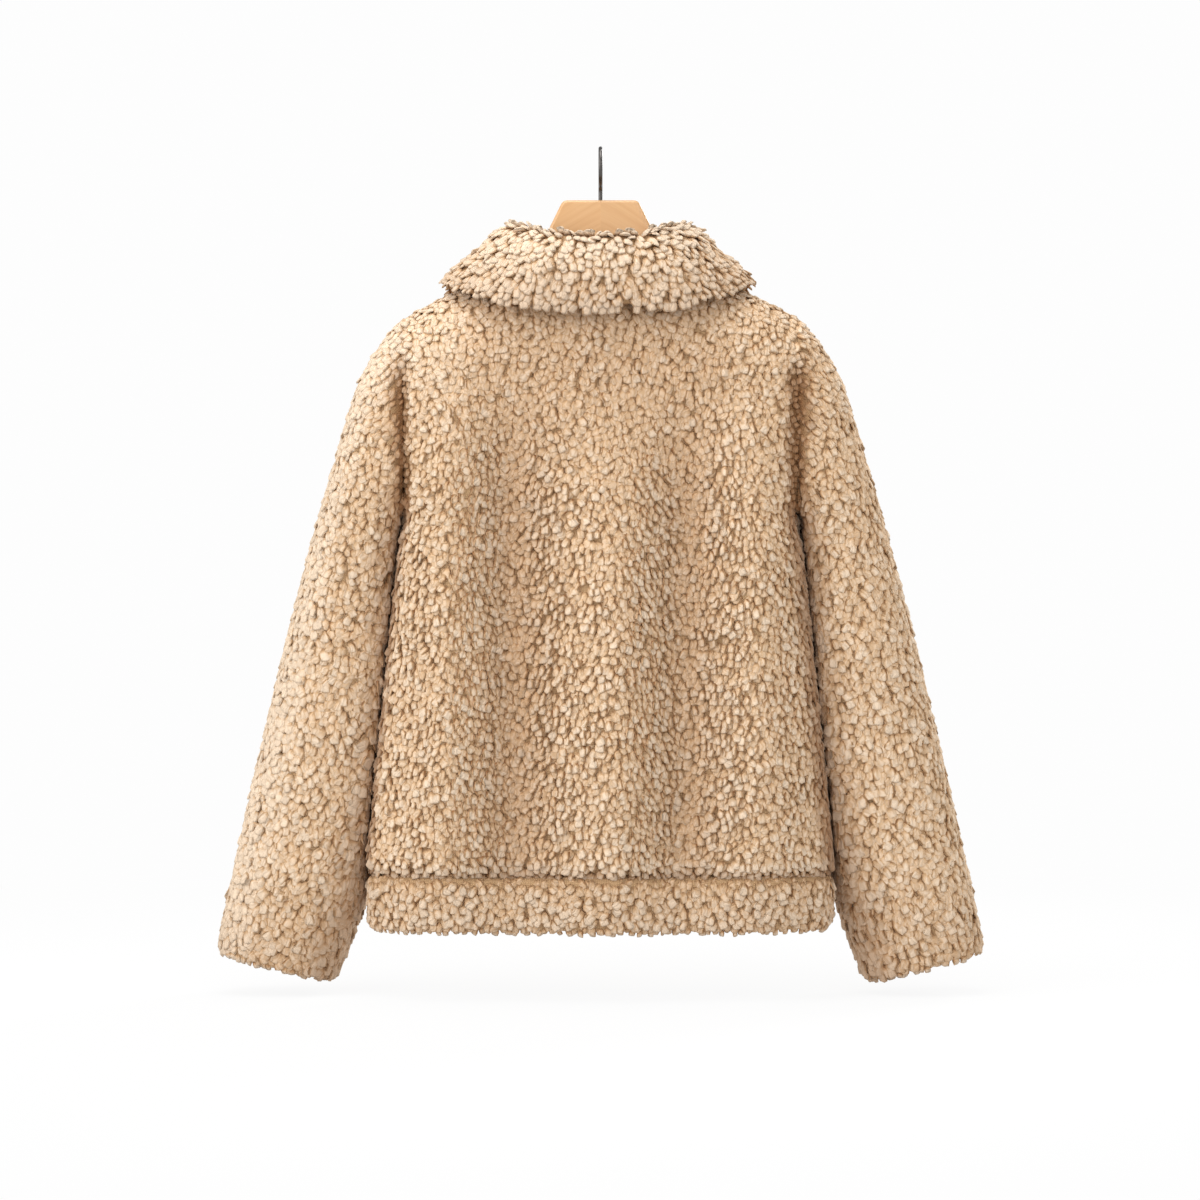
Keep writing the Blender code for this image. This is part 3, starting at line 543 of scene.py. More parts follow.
def pile_material():
    """Curly locks: painted shade in their creases, pale on top, ridged along their strands, each tinted."""
    sheen = {"Sheen Weight": 0.30, "Sheen Roughness": 0.45, "Sheen Tint": (1.0, 0.82, 0.62, 1.0)}
    values = {"Roughness": 0.9, "Specular IOR Level": 0.1, **sheen}
    made, tree, surface = new_material("fleece_pile", values)
    tint = tree.attribute("tint")
    # Painted light: where it is painted, the rims and creases lose their painted shade.
    without_painted_light = 1.0 - tree.attribute("smooth")
    across, along, _ = tree.parts(tree.uv("strand"))
    place = [part * scale for part, scale in zip((across, along, tint), WANDER_SCALES)]
    wander = tree.noise(tuple(place), 1.0, 1.0)
    by_across, by_along, by_wander, by_tint = RIDGE_TURNS
    turn = across * by_across + along * by_along + wander * by_wander + tint * by_tint
    ridge = turn.wave()
    finer, by_wander = STRAND_TURNS
    fine = (turn * finer + wander * by_wander).wave()
    side = (across * 2.0 - 1.0).absolute() + (wander - 0.5) * RIM_WANDERS
    tip = (along + (wander - 0.5) * TIP_WANDERS).step(*RIM_ALONG) * TIP_SHADE
    # Painted shade: dark rims at each lock's sides and tip, and dark creases low between the locks.
    rim = side.step(*RIM_ACROSS).math("MAXIMUM", tip) * without_painted_light * RIM_SHADE
    crease_shade = (1.0 - tree.attribute("height").step(*TIP_HEIGHTS)) * without_painted_light * CREASE_SHADE
    paleness = tree.attribute("pale") * (1.0 - rim) * (1.0 - crease_shade) + (ridge - 0.5) * STRAND_SHADE
    colour = tree.ramp(paleness.clamped(), *PILE_COLOURS)
    least, of_tint, of_ridge, of_strand = LOCK_SHADES
    shade = least + tint * of_tint + ridge * of_ridge + fine * of_strand
    tree.feed(surface["Base Color"], tree.with_painted_shade(tree.tinted(colour, shade)))
    # Light scatters in deep pile, so most of its shading follows the cloth below.
    settings = {"vector_type": "NORMAL", "convert_from": "OBJECT", "convert_to": "WORLD"}
    cloth = tree.node("ShaderNodeVectorTransform", settings, {0: tree.attribute("out", "Vector")})
    own = tree.node("ShaderNodeNewGeometry", output="Normal")
    share = tree.dot(own, cloth).step(*CLOTH_SHADING_COSINES) * CLOTH_SHADING
    soft = tree.vector("ADD", tree.scaled(own, 1.0 - share), tree.scaled(cloth, share))
    relief = ridge + fine * STRAND_RELIEF
    tree.feed(surface["Normal"], tree.bump(relief, *PILE_RELIEF, tree.vector("NORMALIZE", soft)))
    return made


def knit_material():
    """The backing's plain knit: rows of small V stitches, on a UV map in metres."""
    made, tree, surface = new_material("fleece_backing", {"Roughness": 0.92, "Specular IOR Level": 0.1})
    place = tree.uv("cloth")
    across, up, _ = tree.parts(place)
    width, height = STITCH
    wale = (across * (1 / width)).fraction()
    course = (up * (1 / height) + (wale - 0.5).absolute() * STITCH_SLANT).fraction()
    stitch = course.arch() * (1.0 - (wale * 2.0 - 1.0).absolute().math("POWER", STITCH_SQUARE))
    fuzz = tree.noise(place, FUZZ_PER_METRE, 3.0)
    of_stitch, of_fuzz = KNIT_SHADES
    shade = (stitch * of_stitch + fuzz * of_fuzz).clamped()
    tree.feed(surface["Base Color"], tree.with_painted_shade(tree.mix(shade, KNIT_SHADE, KNIT)))
    tree.feed(surface["Normal"], tree.bump(stitch + fuzz * FUZZ_RELIEF, *KNIT_RELIEF))
    return made


def tape_material():
    """The zip's woven tape: a herringbone of fine ribs."""
    made, tree, surface = new_material("zip_tape", {"Roughness": 0.85})
    across, up, _ = tree.parts(tree.uv("cloth"))
    zigzag = ((across * ZIGZAGS_PER_METRE).fraction() - 0.5).absolute()
    rib = (up * RIBS_PER_METRE + zigzag * ZIGZAG_DEPTH).fraction().arch()
    tree.feed(surface["Base Color"], tree.mix(rib, TAPE_SHADE, TAPE))
    tree.feed(surface["Normal"], tree.bump(rib, *TAPE_RELIEF))
    return made


def metal_material(name, colour, roughness, scratches):
    """Metal with fine rubbed marks."""
    made, tree, surface = new_material(name, {"Metallic": 1.0})
    rubbed = tree.noise(tree.place(), RUBS_PER_METRE, 4.0)
    least, of_marks = METAL_SHADES
    tree.feed(surface["Base Color"], tree.tinted(colour, least + rubbed * of_marks))
    tree.feed(surface["Roughness"], roughness + (rubbed - 0.5) * scratches)
    return made


def beech_material():
    """Two boards joined at the middle, with their grain rising towards the joint."""
    values = {"Roughness": 0.42, "Coat Weight": 0.25, "Coat Roughness": 0.25}
    made, tree, surface = new_material("beech", values)
    x, y, z = tree.parts(tree.place())
    out, half = x.absolute(), x.math("SIGN")
    place = [part * scale for part, scale in zip((out, half, z), WOBBLE_SCALES)]
    wobble = (tree.noise(tuple(place), 1.0, 1.0) - 0.5) * WOBBLE
    level = z + out * GRAIN_SLOPE + wobble + out * out * GRAIN_BEND
    up, along, through = (part * scale for part, scale in zip((level, out, y), GRAIN_SCALES))
    grain = tree.noise((up, along + half * BOARDS_APART, through), 1.0, 3.0, 0.55)
    up, along, through = (part * scale for part, scale in zip((level, out, y), FLECK_SCALES))
    flecks = tree.noise((up, along, through + half), 1.0, 2.0)
    colour = tree.ramp(grain * GRAIN_SHARE + flecks * (1.0 - GRAIN_SHARE), *BEECH_COLOURS)
    shade = BOARD_SHADE + half * BOARDS_DIFFER
    beside_joint = 1.0 - out.step(*BOARD_JOINT) * JOINT_PALER
    tree.feed(surface["Base Color"], tree.tinted(colour, shade * beside_joint))
    tree.feed(surface["Normal"], tree.bump(grain + flecks * FLECK_RELIEF, *BOARD_RELIEF))
    return made


def floor_material():
    """Pale paper that fades into the background's white far away."""
    values = {"Base Color": (*FLOOR, 1.0), "Roughness": 1.0, "Specular IOR Level": 0.0}
    made, tree, surface = new_material("floor", values)
    x, y, _ = tree.parts(tree.place())
    away = (x * x + y * y).math("SQRT").step(*FLOOR_FADE)
    glow = tree.node("ShaderNodeEmission", inputs={"Color": WHITE_SURROUND, "Strength": 1.0})
    base = Wire(tree, made.node_tree.nodes["Principled BSDF"].outputs[0])
    share = away * (1.0 - FLOOR_GLOW) + FLOOR_GLOW
    mixed = tree.node("ShaderNodeMixShader", inputs={0: share, 1: base, 2: glow})
    tree.feed(made.node_tree.nodes["Material Output"].inputs["Surface"], mixed)
    return made


# Tables of the cut


class Table:
    """Rows of numbers under named columns, read between its rows by a curve that never overshoots them."""

    def __init__(self, names, *rows):
        ordered = np.array(sorted(rows))
        self.columns = dict(zip(names, ordered.T))
        self.key = ordered[:, 0]

    def read(self, name, at):
        values = self.columns[name]
        steps = np.diff(self.key)
        slopes = np.diff(values) / steps
        product = slopes[:-1] * slopes[1:]
        total = np.where(product > 0, slopes[:-1] + slopes[1:], 1.0)
        inner = np.where(product > 0, 2 * product / total, 0.0)
        tangents = np.concatenate([slopes[:1], inner, slopes[-1:]])
        at = np.clip(at, self.key[0], self.key[-1])
        cell = np.clip(np.searchsorted(self.key, at, side="right") - 1, 0, len(steps) - 1)
        t = (at - self.key[cell]) / steps[cell]
        return (
            values[cell] * (1 + 2 * t) * (1 - t) ** 2
            + values[cell + 1] * t * t * (3 - 2 * t)
            + tangents[cell] * steps[cell] * t * (1 - t) ** 2
            + tangents[cell + 1] * steps[cell] * t * t * (t - 1)
        )


BODY = Table(
    ("z", "half_width", "back_depth", "front_depth", "power"),
    (-0.779, 0.2310, 0.063, 0.061, 2.6),
    (-0.719, 0.2330, 0.064, 0.062, 2.6),
    (-0.650, 0.2270, 0.064, 0.061, 2.7),
    (-0.550, 0.2170, 0.062, 0.059, 2.9),
    (-0.450, 0.2065, 0.060, 0.057, 3.3),
    (-0.400, 0.2005, 0.059, 0.056, 3.6),
    (-0.365, 0.1950, 0.058, 0.055, 4.0),
    (-0.350, 0.1985, 0.058, 0.055, 4.0),
    (-0.330, 0.2030, 0.058, 0.055, 4.0),
    (-0.300, 0.2090, 0.057, 0.054, 4.0),
    (-0.250, 0.2190, 0.057, 0.054, 3.6),
    (-0.200, 0.2300, 0.056, 0.054, 3.2),
    (-0.100, 0.2400, 0.055, 0.053, 2.8),
)
LINE = ("x", "z")
SHOULDER = Table(LINE, (0.0, -0.1), (0.078, -0.1140), (0.120, -0.1310), (0.157, -0.1445), (0.195, -0.1645))
BACK_NECK = Table(LINE, (0.0, -0.1280), (0.04, -0.1245), (0.065, -0.1185), (NECK_X, -0.1140))
FRONT_NECK = Table(
    LINE, (ZIP_HALF_GAP, -0.187), (0.030, -0.178), (0.055, -0.155), (0.070, -0.133), (NECK_X, -0.114)
)
HANGER_UNDERSIDE = Table(LINE, (0.0, -0.150), (0.05, -0.155), (0.12, -0.172), (0.185, -0.197))
FOLD_COLUMNS = ("x_shoulder", "x_hem", "height", "half_width", "start_z")
FOLDS = {
    BACK: Table(
        FOLD_COLUMNS,
        (0.150, 0.160, 0.006, 0.034, -0.200),
        (0.085, 0.080, -0.009, 0.036, -0.210),
        (-0.015, -0.020, 0.007, 0.034, -0.300),
        (-0.085, -0.085, -0.008, 0.036, -0.210),
        (-0.155, -0.168, 0.005, 0.032, -0.200),
    ),
    FRONT: Table(
        FOLD_COLUMNS,
        (0.125, 0.145, 0.006, 0.034, -0.210),
        (0.070, 0.080, -0.006, 0.032, -0.230),
        (-0.072, -0.075, -0.006, 0.034, -0.230),
        (-0.125, -0.140, 0.006, 0.036, -0.210),
    ),
}
FOLD_TOP_Z = -0.250
FOLD_FADE = 0.150
BAND_CALM = 0.35
BAND_CALM_START_Z = -0.640
# How far outside the body's outer face the waist band's is
BAND_PROFILE = Table(
    ("z", "outer"),
    (BAND_SEAM_Z - SEAM_GAP, -0.0040),
    (-0.7240, 0.0005),
    (-0.7350, 0.0018),
    (-0.7530, 0.0018),
    (-0.7660, 0.0012),
    (-0.7740, -0.0005),
    (HEM_Z, -0.0045),
)
SLEEVE = Table(
    ("step", "outer_x", "outer_z", "inner_x", "inner_z", "centre_y", "half_depth"),
    (0.0, 0.1954, -0.1645, 0.1954, -0.365, 0.000, 0.042),
    (0.5, 0.2125, -0.1775, 0.1960, -0.369, -0.002, 0.043),
    (1.0, 0.2335, -0.2080, 0.1960, -0.373, -0.004, 0.044),
    (2.0, 0.2495, -0.2490, 0.1965, -0.380, -0.008, 0.046),
    (3.0, 0.2650, -0.2990, 0.1970, -0.392, -0.013, 0.048),
    (4.0, 0.2800, -0.3490, 0.1975, -0.412, -0.018, 0.049),
    (5.0, 0.2940, -0.3990, 0.1980, -0.445, -0.023, 0.051),
    (6.0, 0.3075, -0.4490, 0.1990, -0.490, -0.027, 0.052),
    (7.0, 0.3325, -0.5500, 0.2050, -0.590, -0.032, 0.053),
    (8.0, 0.3560, -0.6510, 0.2200, -0.690, -0.034, 0.052),
    (9.0, 0.3785, -0.7520, 0.2490, -0.785, -0.035, 0.050),
    (10.0, 0.3880, -0.7990, 0.2660, -0.829, -0.035, 0.048),
)
ARMHOLE_BLEND = 1.5
SLEEVE_CLEARANCE = 0.0035
COLLAR = Table(
    (
        *("around", "fold_x", "fold_y", "fold_z"),
        *("fall_x", "fall_y", "fall_z", "edge_x", "edge_y", "edge_z"),
    ),
    (0.00, 0.0000, 0.0475, -0.093, 0.0000, 0.0650, -0.125, 0.0000, 0.0680, -0.160),
    (0.50, 0.0450, 0.0400, -0.089, 0.0620, 0.0590, -0.119, 0.0780, 0.0635, -0.156),
    (0.85, 0.0740, 0.0180, -0.080, 0.0980, 0.0330, -0.106, 0.1280, 0.0400, -0.144),
    (1.00, 0.0855, 0.0000, -0.078, 0.1125, 0.0030, -0.100, 0.1520, 0.0040, -0.130),
    (1.25, 0.0820, -0.0220, -0.084, 0.1160, -0.0360, -0.113, 0.1430, -0.0420, -0.152),
    (1.60, 0.0550, -0.0520, -0.115, 0.0850, -0.0650, -0.152, 0.1100, -0.0640, -0.208),
    (2.00, 0.0130, -0.0680, -0.160, 0.0350, -0.0730, -0.198, 0.0600, -0.0655, -0.254),
)
COLLAR_FOLD_RADIUS = 0.0095
COLLAR_FOLD_ROW = 3
COLLAR_SHIFT = 0.0025
COLLAR_EDGE_SET_BACK = 0.001
# How far the stand leans in, in radii of the fold. Where the cloth swells between the fold and the fall: the
# shares of those two lines, and how far out it is, in the same radii.
COLLAR_STAND_LEAN = 0.75
COLLAR_SWELL = (0.45, 0.55, 0.45)


# Small sums


def unit(vectors):
    return vectors / np.maximum(np.linalg.norm(vectors, axis=-1, keepdims=True), 1e-12)


def ease(t):
    t = np.clip(t, 0.0, 1.0)
    return t * t * (3 - 2 * t)


def rise(values, start, width):
    """0 at start, 1 a width further on, and a soft step between them. A negative width goes the other way."""
    return ease((values - start) / width)


def fade(values, start, width):
    return 1 - rise(values, start, width)


def bell(values, middle, width):
    return np.exp(-(((values - middle) / width) ** 2))


def mirrored(points):
    return points * np.array([-1.0, 1.0, 1.0])


# Meshes and objects


def add_object(name, data):
    made = bpy.data.objects.new(name, data)
    bpy.context.scene.collection.objects.link(made)
    return made


def show(piece, body, node):
    """The piece rides on a body in place of a node."""
    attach(piece, body)
    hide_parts(node)


def outward_mesh(name, points, faces, uv_map=None, places=()):
    """A smooth mesh of closed shells that face outwards, with a UV map if it has places for its corners."""
    mesh = bpy.data.meshes.new(name)
    mesh.from_pydata([tuple(point) for point in points], [], faces)
    if uv_map:
        mesh.uv_layers.new(name=uv_map)
        mesh.uv_layers[uv_map].data.foreach_set("uv", np.array(places).ravel())
    shape = bmesh.new()
    shape.from_mesh(mesh)
    bmesh.ops.recalc_face_normals(shape, faces=shape.faces)
    shape.to_mesh(mesh)
    shape.free()
    mesh.shade_smooth()
    return mesh


def hard_piece(name, points, faces, finish, sharp=40.0):
    """A piece that is smooth except at its sharp edges."""
    mesh = outward_mesh(name, points, faces)
    mesh.set_sharp_from_angle(angle=math.radians(sharp))
    mesh.materials.append(finish)
    return add_object(name, mesh)


def ring_faces(rings, count, looped=False):
    """Faces between rings of this many points, which are capped at both ends or go round in a loop."""
    faces = [] if looped else [list(range(count)), list(range((rings - 1) * count, rings * count))]
    for ring in range(rings if looped else rings - 1):
        start, end = ring * count, (ring + 1) % rings * count
        for side in range(count):
            after = (side + 1) % count
            faces.append([start + side, start + after, end + after, end + side])
    return faces


def store(mesh, name, kind, values, domain="POINT"):
    """A named attribute on a mesh."""
    attribute = mesh.attributes.new(name, kind, domain)
    key = "vector" if kind == "FLOAT_VECTOR" else "value"
    attribute.data.foreach_set(key, np.asarray(values).ravel())


# Locks of pile


def lock_mesh(name, crown, swing, skew):
    """One lock, 1 wide, 1 thick and 1 long: a curl that lies along Z with its outer side towards +Y."""
    points, shades, places = [], [], []
    for along, width, thickness, lift, pale in LOCK_RINGS:
        corners = LOCK_SECTION if width else LOCK_SECTION[2:3]
        for across, out, shade in corners:
            raised = crown if across == 0 else skew * across
            x = across * width / 2 + swing * along**2
            points.append((x, ((out + raised) * thickness + lift) / 2, along))
            shades.append(pale * shade)
            places.append((across / 2 + 0.5, along))
    count, tip = len(LOCK_SECTION), len(points) - 1
    faces = [list(range(count))]
    for ring in range(len(LOCK_RINGS) - 1):
        for side in range(count):
            start, after = ring * count + side, ring * count + (side + 1) % count
            last = ring + 2 == len(LOCK_RINGS)
            faces.append([after, tip, start] if last else [after, after + count, start + count, start])
    mesh = outward_mesh(name, points, faces, "strand", [places[corner] for face in faces for corner in face])
    store(mesh, "pale", "FLOAT", shades)
    return mesh


def group(name, inputs):
    """An empty Geometry Nodes tree with a geometry and named inputs: it, and a wire for each of them."""
    made = bpy.data.node_groups.new(name, "GeometryNodeTree")
    for label, kind in {"Geometry": "Geometry", **inputs}.items():
        made.interface.new_socket(label, in_out="INPUT", socket_type=f"NodeSocket{kind}")
    made.interface.new_socket("Geometry", in_out="OUTPUT", socket_type="NodeSocketGeometry")
    tree = Tree(made)
    source = tree.new("NodeGroupInput")
    return made, tree, {label: Wire(tree, source.outputs[label]) for label in ("Geometry", *inputs)}


def finish_tree(tree, instances, finish):
    """Give the instances their material."""
    dressed = tree.node("GeometryNodeSetMaterial", inputs={"Geometry": instances, "Material": finish})
    tree.new("NodeGroupOutput", inputs={"Geometry": dressed})


def relaxed(tree, points, surface, reach):
    """Points pushed away from their nearest neighbours, over the surface."""
    start = tree.new("GeometryNodeRepeatInput")
    end = tree.new("GeometryNodeRepeatOutput")
    start.pair_with_output(end)
    tree.feed(start.inputs["Iterations"], RELAXING_ROUNDS)
    tree.feed(start.inputs["Geometry"], points)
    place = tree.node("GeometryNodeInputPosition")
    nearest = tree.node("GeometryNodeIndexOfNearest")
    inputs = {"Index": nearest, "Value": place}
    other = tree.node("GeometryNodeFieldAtIndex", {"data_type": "FLOAT_VECTOR"}, inputs)
    away = tree.vector("SUBTRACT", place, other)
    short = (reach - tree.vector("LENGTH", away, output=1)).math("MAXIMUM", 0.0) * 0.5
    moved = tree.vector("ADD", place, tree.scaled(tree.vector("NORMALIZE", away), short))
    inputs = {"Geometry": Wire(tree, start.outputs["Geometry"]), "Position": tree.nearest_on(surface, moved)}
    tree.feed(end.inputs["Geometry"], tree.node("GeometryNodeSetPosition", inputs=inputs))
    return Wire(tree, end.outputs["Geometry"])


def pile_tree(shapes, finish):
    """Locks that stand on a panel's piled faces and lean along its nap."""
    kinds = {"Spacing": "Float", "Lock size": "Vector", "Stand": "Float", "Stray": "Float", "Seed": "Int"}
    made, tree, given = group("pile", kinds)

    def named(name, kind):
        return tree.node("GeometryNodeInputNamedAttribute", {"data_type": kind}, {"Name": name})

    def kept(geometry, name, domain, value):
        settings = {"data_type": "FLOAT", "domain": domain}
        inputs = {"Geometry": geometry, "Name": name, 3: value}
        return tree.node("GeometryNodeStoreNamedAttribute", settings, inputs)

    inputs = {"Geometry": given["Geometry"], "Selection": named("piled", "BOOLEAN")}
    surface = tree.node("GeometryNodeSeparateGeometry", {"domain": "FACE"}, inputs)
    spacing, seed = given["Spacing"], given["Seed"]
    inputs = {"Mesh": surface, "Distance Min": spacing, "Density Max": LOCK_DENSITY, "Seed": seed}
    spots = tree.node("GeometryNodeDistributePointsOnFaces", {"distribute_method": "POISSON"}, inputs)
    spots = relaxed(tree, spots, surface, spacing * RELAXED_SPACING)

    out = named("out", "FLOAT_VECTOR")
    stray = tree.random("FLOAT_VECTOR", (-1.0, -1.0, -1.0), (1.0, 1.0, 1.0), STRAY_SEED)
    stray = tree.vector("SUBTRACT", stray, tree.scaled(out, tree.dot(stray, out) * STRAY_FLATTENED))
    axis = tree.vector("ADD", tree.scaled(out, given["Stand"]), named("nap", "FLOAT_VECTOR"))
    axis = tree.vector("ADD", axis, tree.scaled(stray, given["Stray"]))
    settings = {"primary_axis": "Z", "secondary_axis": "Y"}
    facing = tree.node("FunctionNodeAxesToRotation", settings, {0: axis, 1: out})
    angle = tree.random("FLOAT", -LOCK_TWIST, LOCK_TWIST, TWIST_SEED)
    twist = tree.node("FunctionNodeEulerToRotation", inputs={0: (0.0, 0.0, angle)})
    turned = tree.node("FunctionNodeRotateRotation", {"rotation_space": "LOCAL"}, {0: facing, 1: twist})
    varied = [tree.random("FLOAT", *limits, SIZE_SEED + index) for index, limits in enumerate(LOCK_VARIES)]
    size = tree.vector("MULTIPLY", given["Lock size"], tuple(varied))

    all_shapes = tree.new("GeometryNodeJoinGeometry")
    for shape in reversed(shapes):
        tree.feed(all_shapes.inputs[0], tree.instance(shape))
    inputs = {
        "Points": spots,
        "Instance": Wire(tree, all_shapes.outputs[0]),
        "Pick Instance": True,
        "Instance Index": tree.random("INT", 0, len(shapes) - 1, SHAPE_SEED),
        "Rotation": turned,
        "Scale": tree.scaled(size, named("size", "FLOAT")),
    }
    placed = tree.node("GeometryNodeInstanceOnPoints", inputs=inputs)
    real = tree.realized(kept(placed, "tint", "INSTANCE", tree.random("FLOAT", 0.0, 1.0, TINT_SEED)))
    over = tree.nearest_on(surface, tree.node("GeometryNodeInputPosition"), 1)
    finish_tree(tree, kept(real, "height", "POINT", over), finish)
    return made


def grow(name, host, made, values):
    """Run a Geometry Nodes tree over a copy of a mesh, and keep what it makes as a plain object."""
    worker = add_object("worker", host)
    change = worker.modifiers.new("tree", "NODES")
    change.node_group = made
    sockets = {item.name: item.identifier for item in made.interface.items_tree if item.in_out == "INPUT"}
    for label, value in values.items():
        change[sockets[label]] = value
    bpy.context.view_layer.update()
    seen = worker.evaluated_get(bpy.context.evaluated_depsgraph_get())
    mesh = bpy.data.meshes.new_from_object(seen)
    mesh.name = name
    bpy.data.objects.remove(worker)
    return add_object(name, mesh)


# Panels


def section_fractions(spacing):
    """Places across a body section, as fractions of its half-width, evenly spaced along the cloth."""
    angle = np.linspace(0, math.pi / 2, CURVE_SAMPLES)
    across = np.sin(angle) ** (2 / SECTION_POWER)
    along = np.cos(angle) ** (2 / SECTION_POWER) * SECTION_DEPTH_TO_WIDTH
    lengths = np.concatenate([[0], np.cumsum(np.hypot(np.diff(across), np.diff(along)))])
    return np.interp(spacing * lengths[-1], lengths, across)


def fold_height(side, x, z):
    columns = FOLDS[side].columns
    total = np.zeros_like(x)
    for x_shoulder, x_hem, height, half_width, start_z in zip(*columns.values()):
        down = (FOLD_TOP_Z - z) / (FOLD_TOP_Z - BAND_SEAM_Z)
        centre = x_shoulder + (x_hem - x_shoulder) * down
        total += height * bell(x, centre, half_width) * rise(z, start_z, -FOLD_FADE)
    return total * (1 - BAND_CALM * rise(z, BAND_CALM_START_Z, HEM_Z - BAND_CALM_START_Z))


def body_y(side, x, z):
    """Where the outer face of the body lies, for places across it and heights."""
    across = np.clip(np.abs(x) / BODY.read("half_width", z), 0, 1)
    power = BODY.read("power", z)
    ring = (1 - across**power) ** (1 / power)
    over = np.clip((z - SHOULDER.read("z", np.abs(x))) / SHOULDER_ROUND + 1, 0, 1)
    crown = np.sqrt(1 - over**2)
    depth = BODY.read("back_depth" if side == BACK else "front_depth", z)
    return side * (depth + fold_height(side, x, z)) * ring * crown


def cloth_normals(points):
    """Unit normals of a grid of points, from its neighbours along rows and columns."""
    return unit(np.cross(np.gradient(points, axis=1), np.gradient(points, axis=0)))


def half_panel(side, sign):
    """Outer and inner faces of half a back or a front, from the middle to the side: sign is 1 at the left."""
    cells = NECK_CELLS + SHOULDER_CELLS
    spacing = np.linspace(0, 1, cells + 1)
    low = section_fractions(spacing)
    neck_at = NECK_CELLS / cells
    top = np.interp(spacing, [0, neck_at, 1], [0, NECK_X / ARMHOLE_X, 1])
    middle_x = ZIP_HALF_GAP if side == FRONT else 0.0
    top_x = np.maximum(top * ARMHOLE_X, middle_x)
    neck = BACK_NECK if side == BACK else FRONT_NECK
    end_z = np.where(top_x <= NECK_X, neck.read("z", top_x), SHOULDER.read("z", top_x))

    # Rows are even up to the underarm, then even along the cloth as it rounds over the shoulder.
    round_start = SHOULDER.read("z", top_x) - SHOULDER_ROUND
    start_angle = (UNDERARM_Z - round_start) / SHOULDER_ROUND
    end_angle = np.arcsin(np.clip((end_z - round_start) / SHOULDER_ROUND, -1, 1))
    climb = np.linspace(0, 1, ROWS_ABOVE_ARM + 1)[1:, None] ** ROW_SPACING_POWER
    angle = start_angle + (end_angle - start_angle) * climb
    above = round_start + SHOULDER_ROUND * np.where(angle > 0, np.sin(angle), angle)
    below = np.linspace(BAND_SEAM_Z, UNDERARM_Z, ROWS_BELOW_ARM + 1)[:, None] + np.zeros(cells + 1)
    z = np.concatenate([below, above])

    edge_x = np.where(z <= UNDERARM_Z, BODY.read("half_width", z), ARMHOLE_X)
    blend = rise(z, ARMHOLE_START_Z, ARMHOLE_END_Z - ARMHOLE_START_Z)
    x = np.maximum(edge_x * (low + (top - low) * blend), middle_x)
    outer = np.stack([x, body_y(side, x * sign, z), z], axis=-1)

    normals = cloth_normals(outer)
    normals *= np.sign(normals[2, 2, 1]) * side
    normals[0, :, 2] = 0
    normals[:, 0, 0] = 0
    normals[: ROWS_BELOW_ARM + 1, -1, 1] = 0
    normals[-1, NECK_CELLS:, 1] = 0
    edge_run = np.gradient(outer[ROWS_BELOW_ARM:, -1], axis=0)
    armhole = np.stack([np.zeros(len(edge_run)), side * edge_run[:, 2], -side * edge_run[:, 1]], axis=-1)
    armhole[0] = -UP
    armhole[-1] = UP
    normals[ROWS_BELOW_ARM:, -1] = armhole
    inner = outer - unit(normals) * WALL
    seam = np.array([0, side * SEAM_GAP / 2, 0])
    faces = [outer + seam, inner + seam]
    return faces if sign > 0 else [mirrored(face) for face in faces]


def joined_at_middle(left, right):
    """One grid from two halves, the right one running outwards from the middle too."""
    return np.concatenate([left[:, ::-1], right[:, 1:]], axis=1)


def fold_slope(side, outer):
    """How steeply a panel's folds rise towards +X, as a vector that points down the slope."""
    x, z, step = outer[..., 0], outer[..., 2], 0.002
    slope = (fold_height(side, x + step, z) - fold_height(side, x - step, z)) / (2 * step)
    return slope[..., None] * np.array([-1.0, 0, 0])


def shell(name, skin, lining, tube=False, lined=None):
    """The closed shell between two grids of points, with a UV map in metres along the cloth."""
    rows, columns = skin.shape[:2]
    spans = columns if tube else columns - 1
    lined = np.zeros((rows, columns), bool) if lined is None else lined
    wrapped = np.concatenate([skin, skin[:, :1]], axis=1)
    across = np.linalg.norm(np.diff(wrapped, axis=1), axis=-1).mean(axis=0)
    up = np.linalg.norm(np.diff(skin, axis=0), axis=-1).mean(axis=1)
    u = np.concatenate([[0], np.cumsum(across)])
    v = np.concatenate([[0], np.cumsum(up)])
    faces, places, piled = [], [], []

    def add(corners, furry):
        faces.append([(layer * rows + row) * columns + column % columns for layer, row, column in corners])
        places.extend((u[column], v[row] + layer * BACKING) for layer, row, column in corners)
        piled.append(furry)

    for layer in (0, 1):
        for row in range(rows - 1):
            for column in range(spans):
                corners = ((row, column), (row, column + 1), (row + 1, column + 1), (row + 1, column))
                add([(layer, *corner) for corner in corners], layer == 0 or bool(lined[row, column]))
    rim = [((row, column), (row, column + 1)) for row in (0, rows - 1) for column in range(spans)]
    if not tube:
        rim += [((row, column), (row + 1, column)) for column in (0, columns - 1) for row in range(rows - 1)]
    for start, end in rim:
        add([(0, *start), (0, *end), (1, *end), (1, *start)], False)
    points = np.concatenate([skin.reshape(-1, 3), lining.reshape(-1, 3)])
    mesh = outward_mesh(name, points, faces, "cloth", places)
    store(mesh, "piled", "BOOLEAN", piled, "FACE")
    return mesh


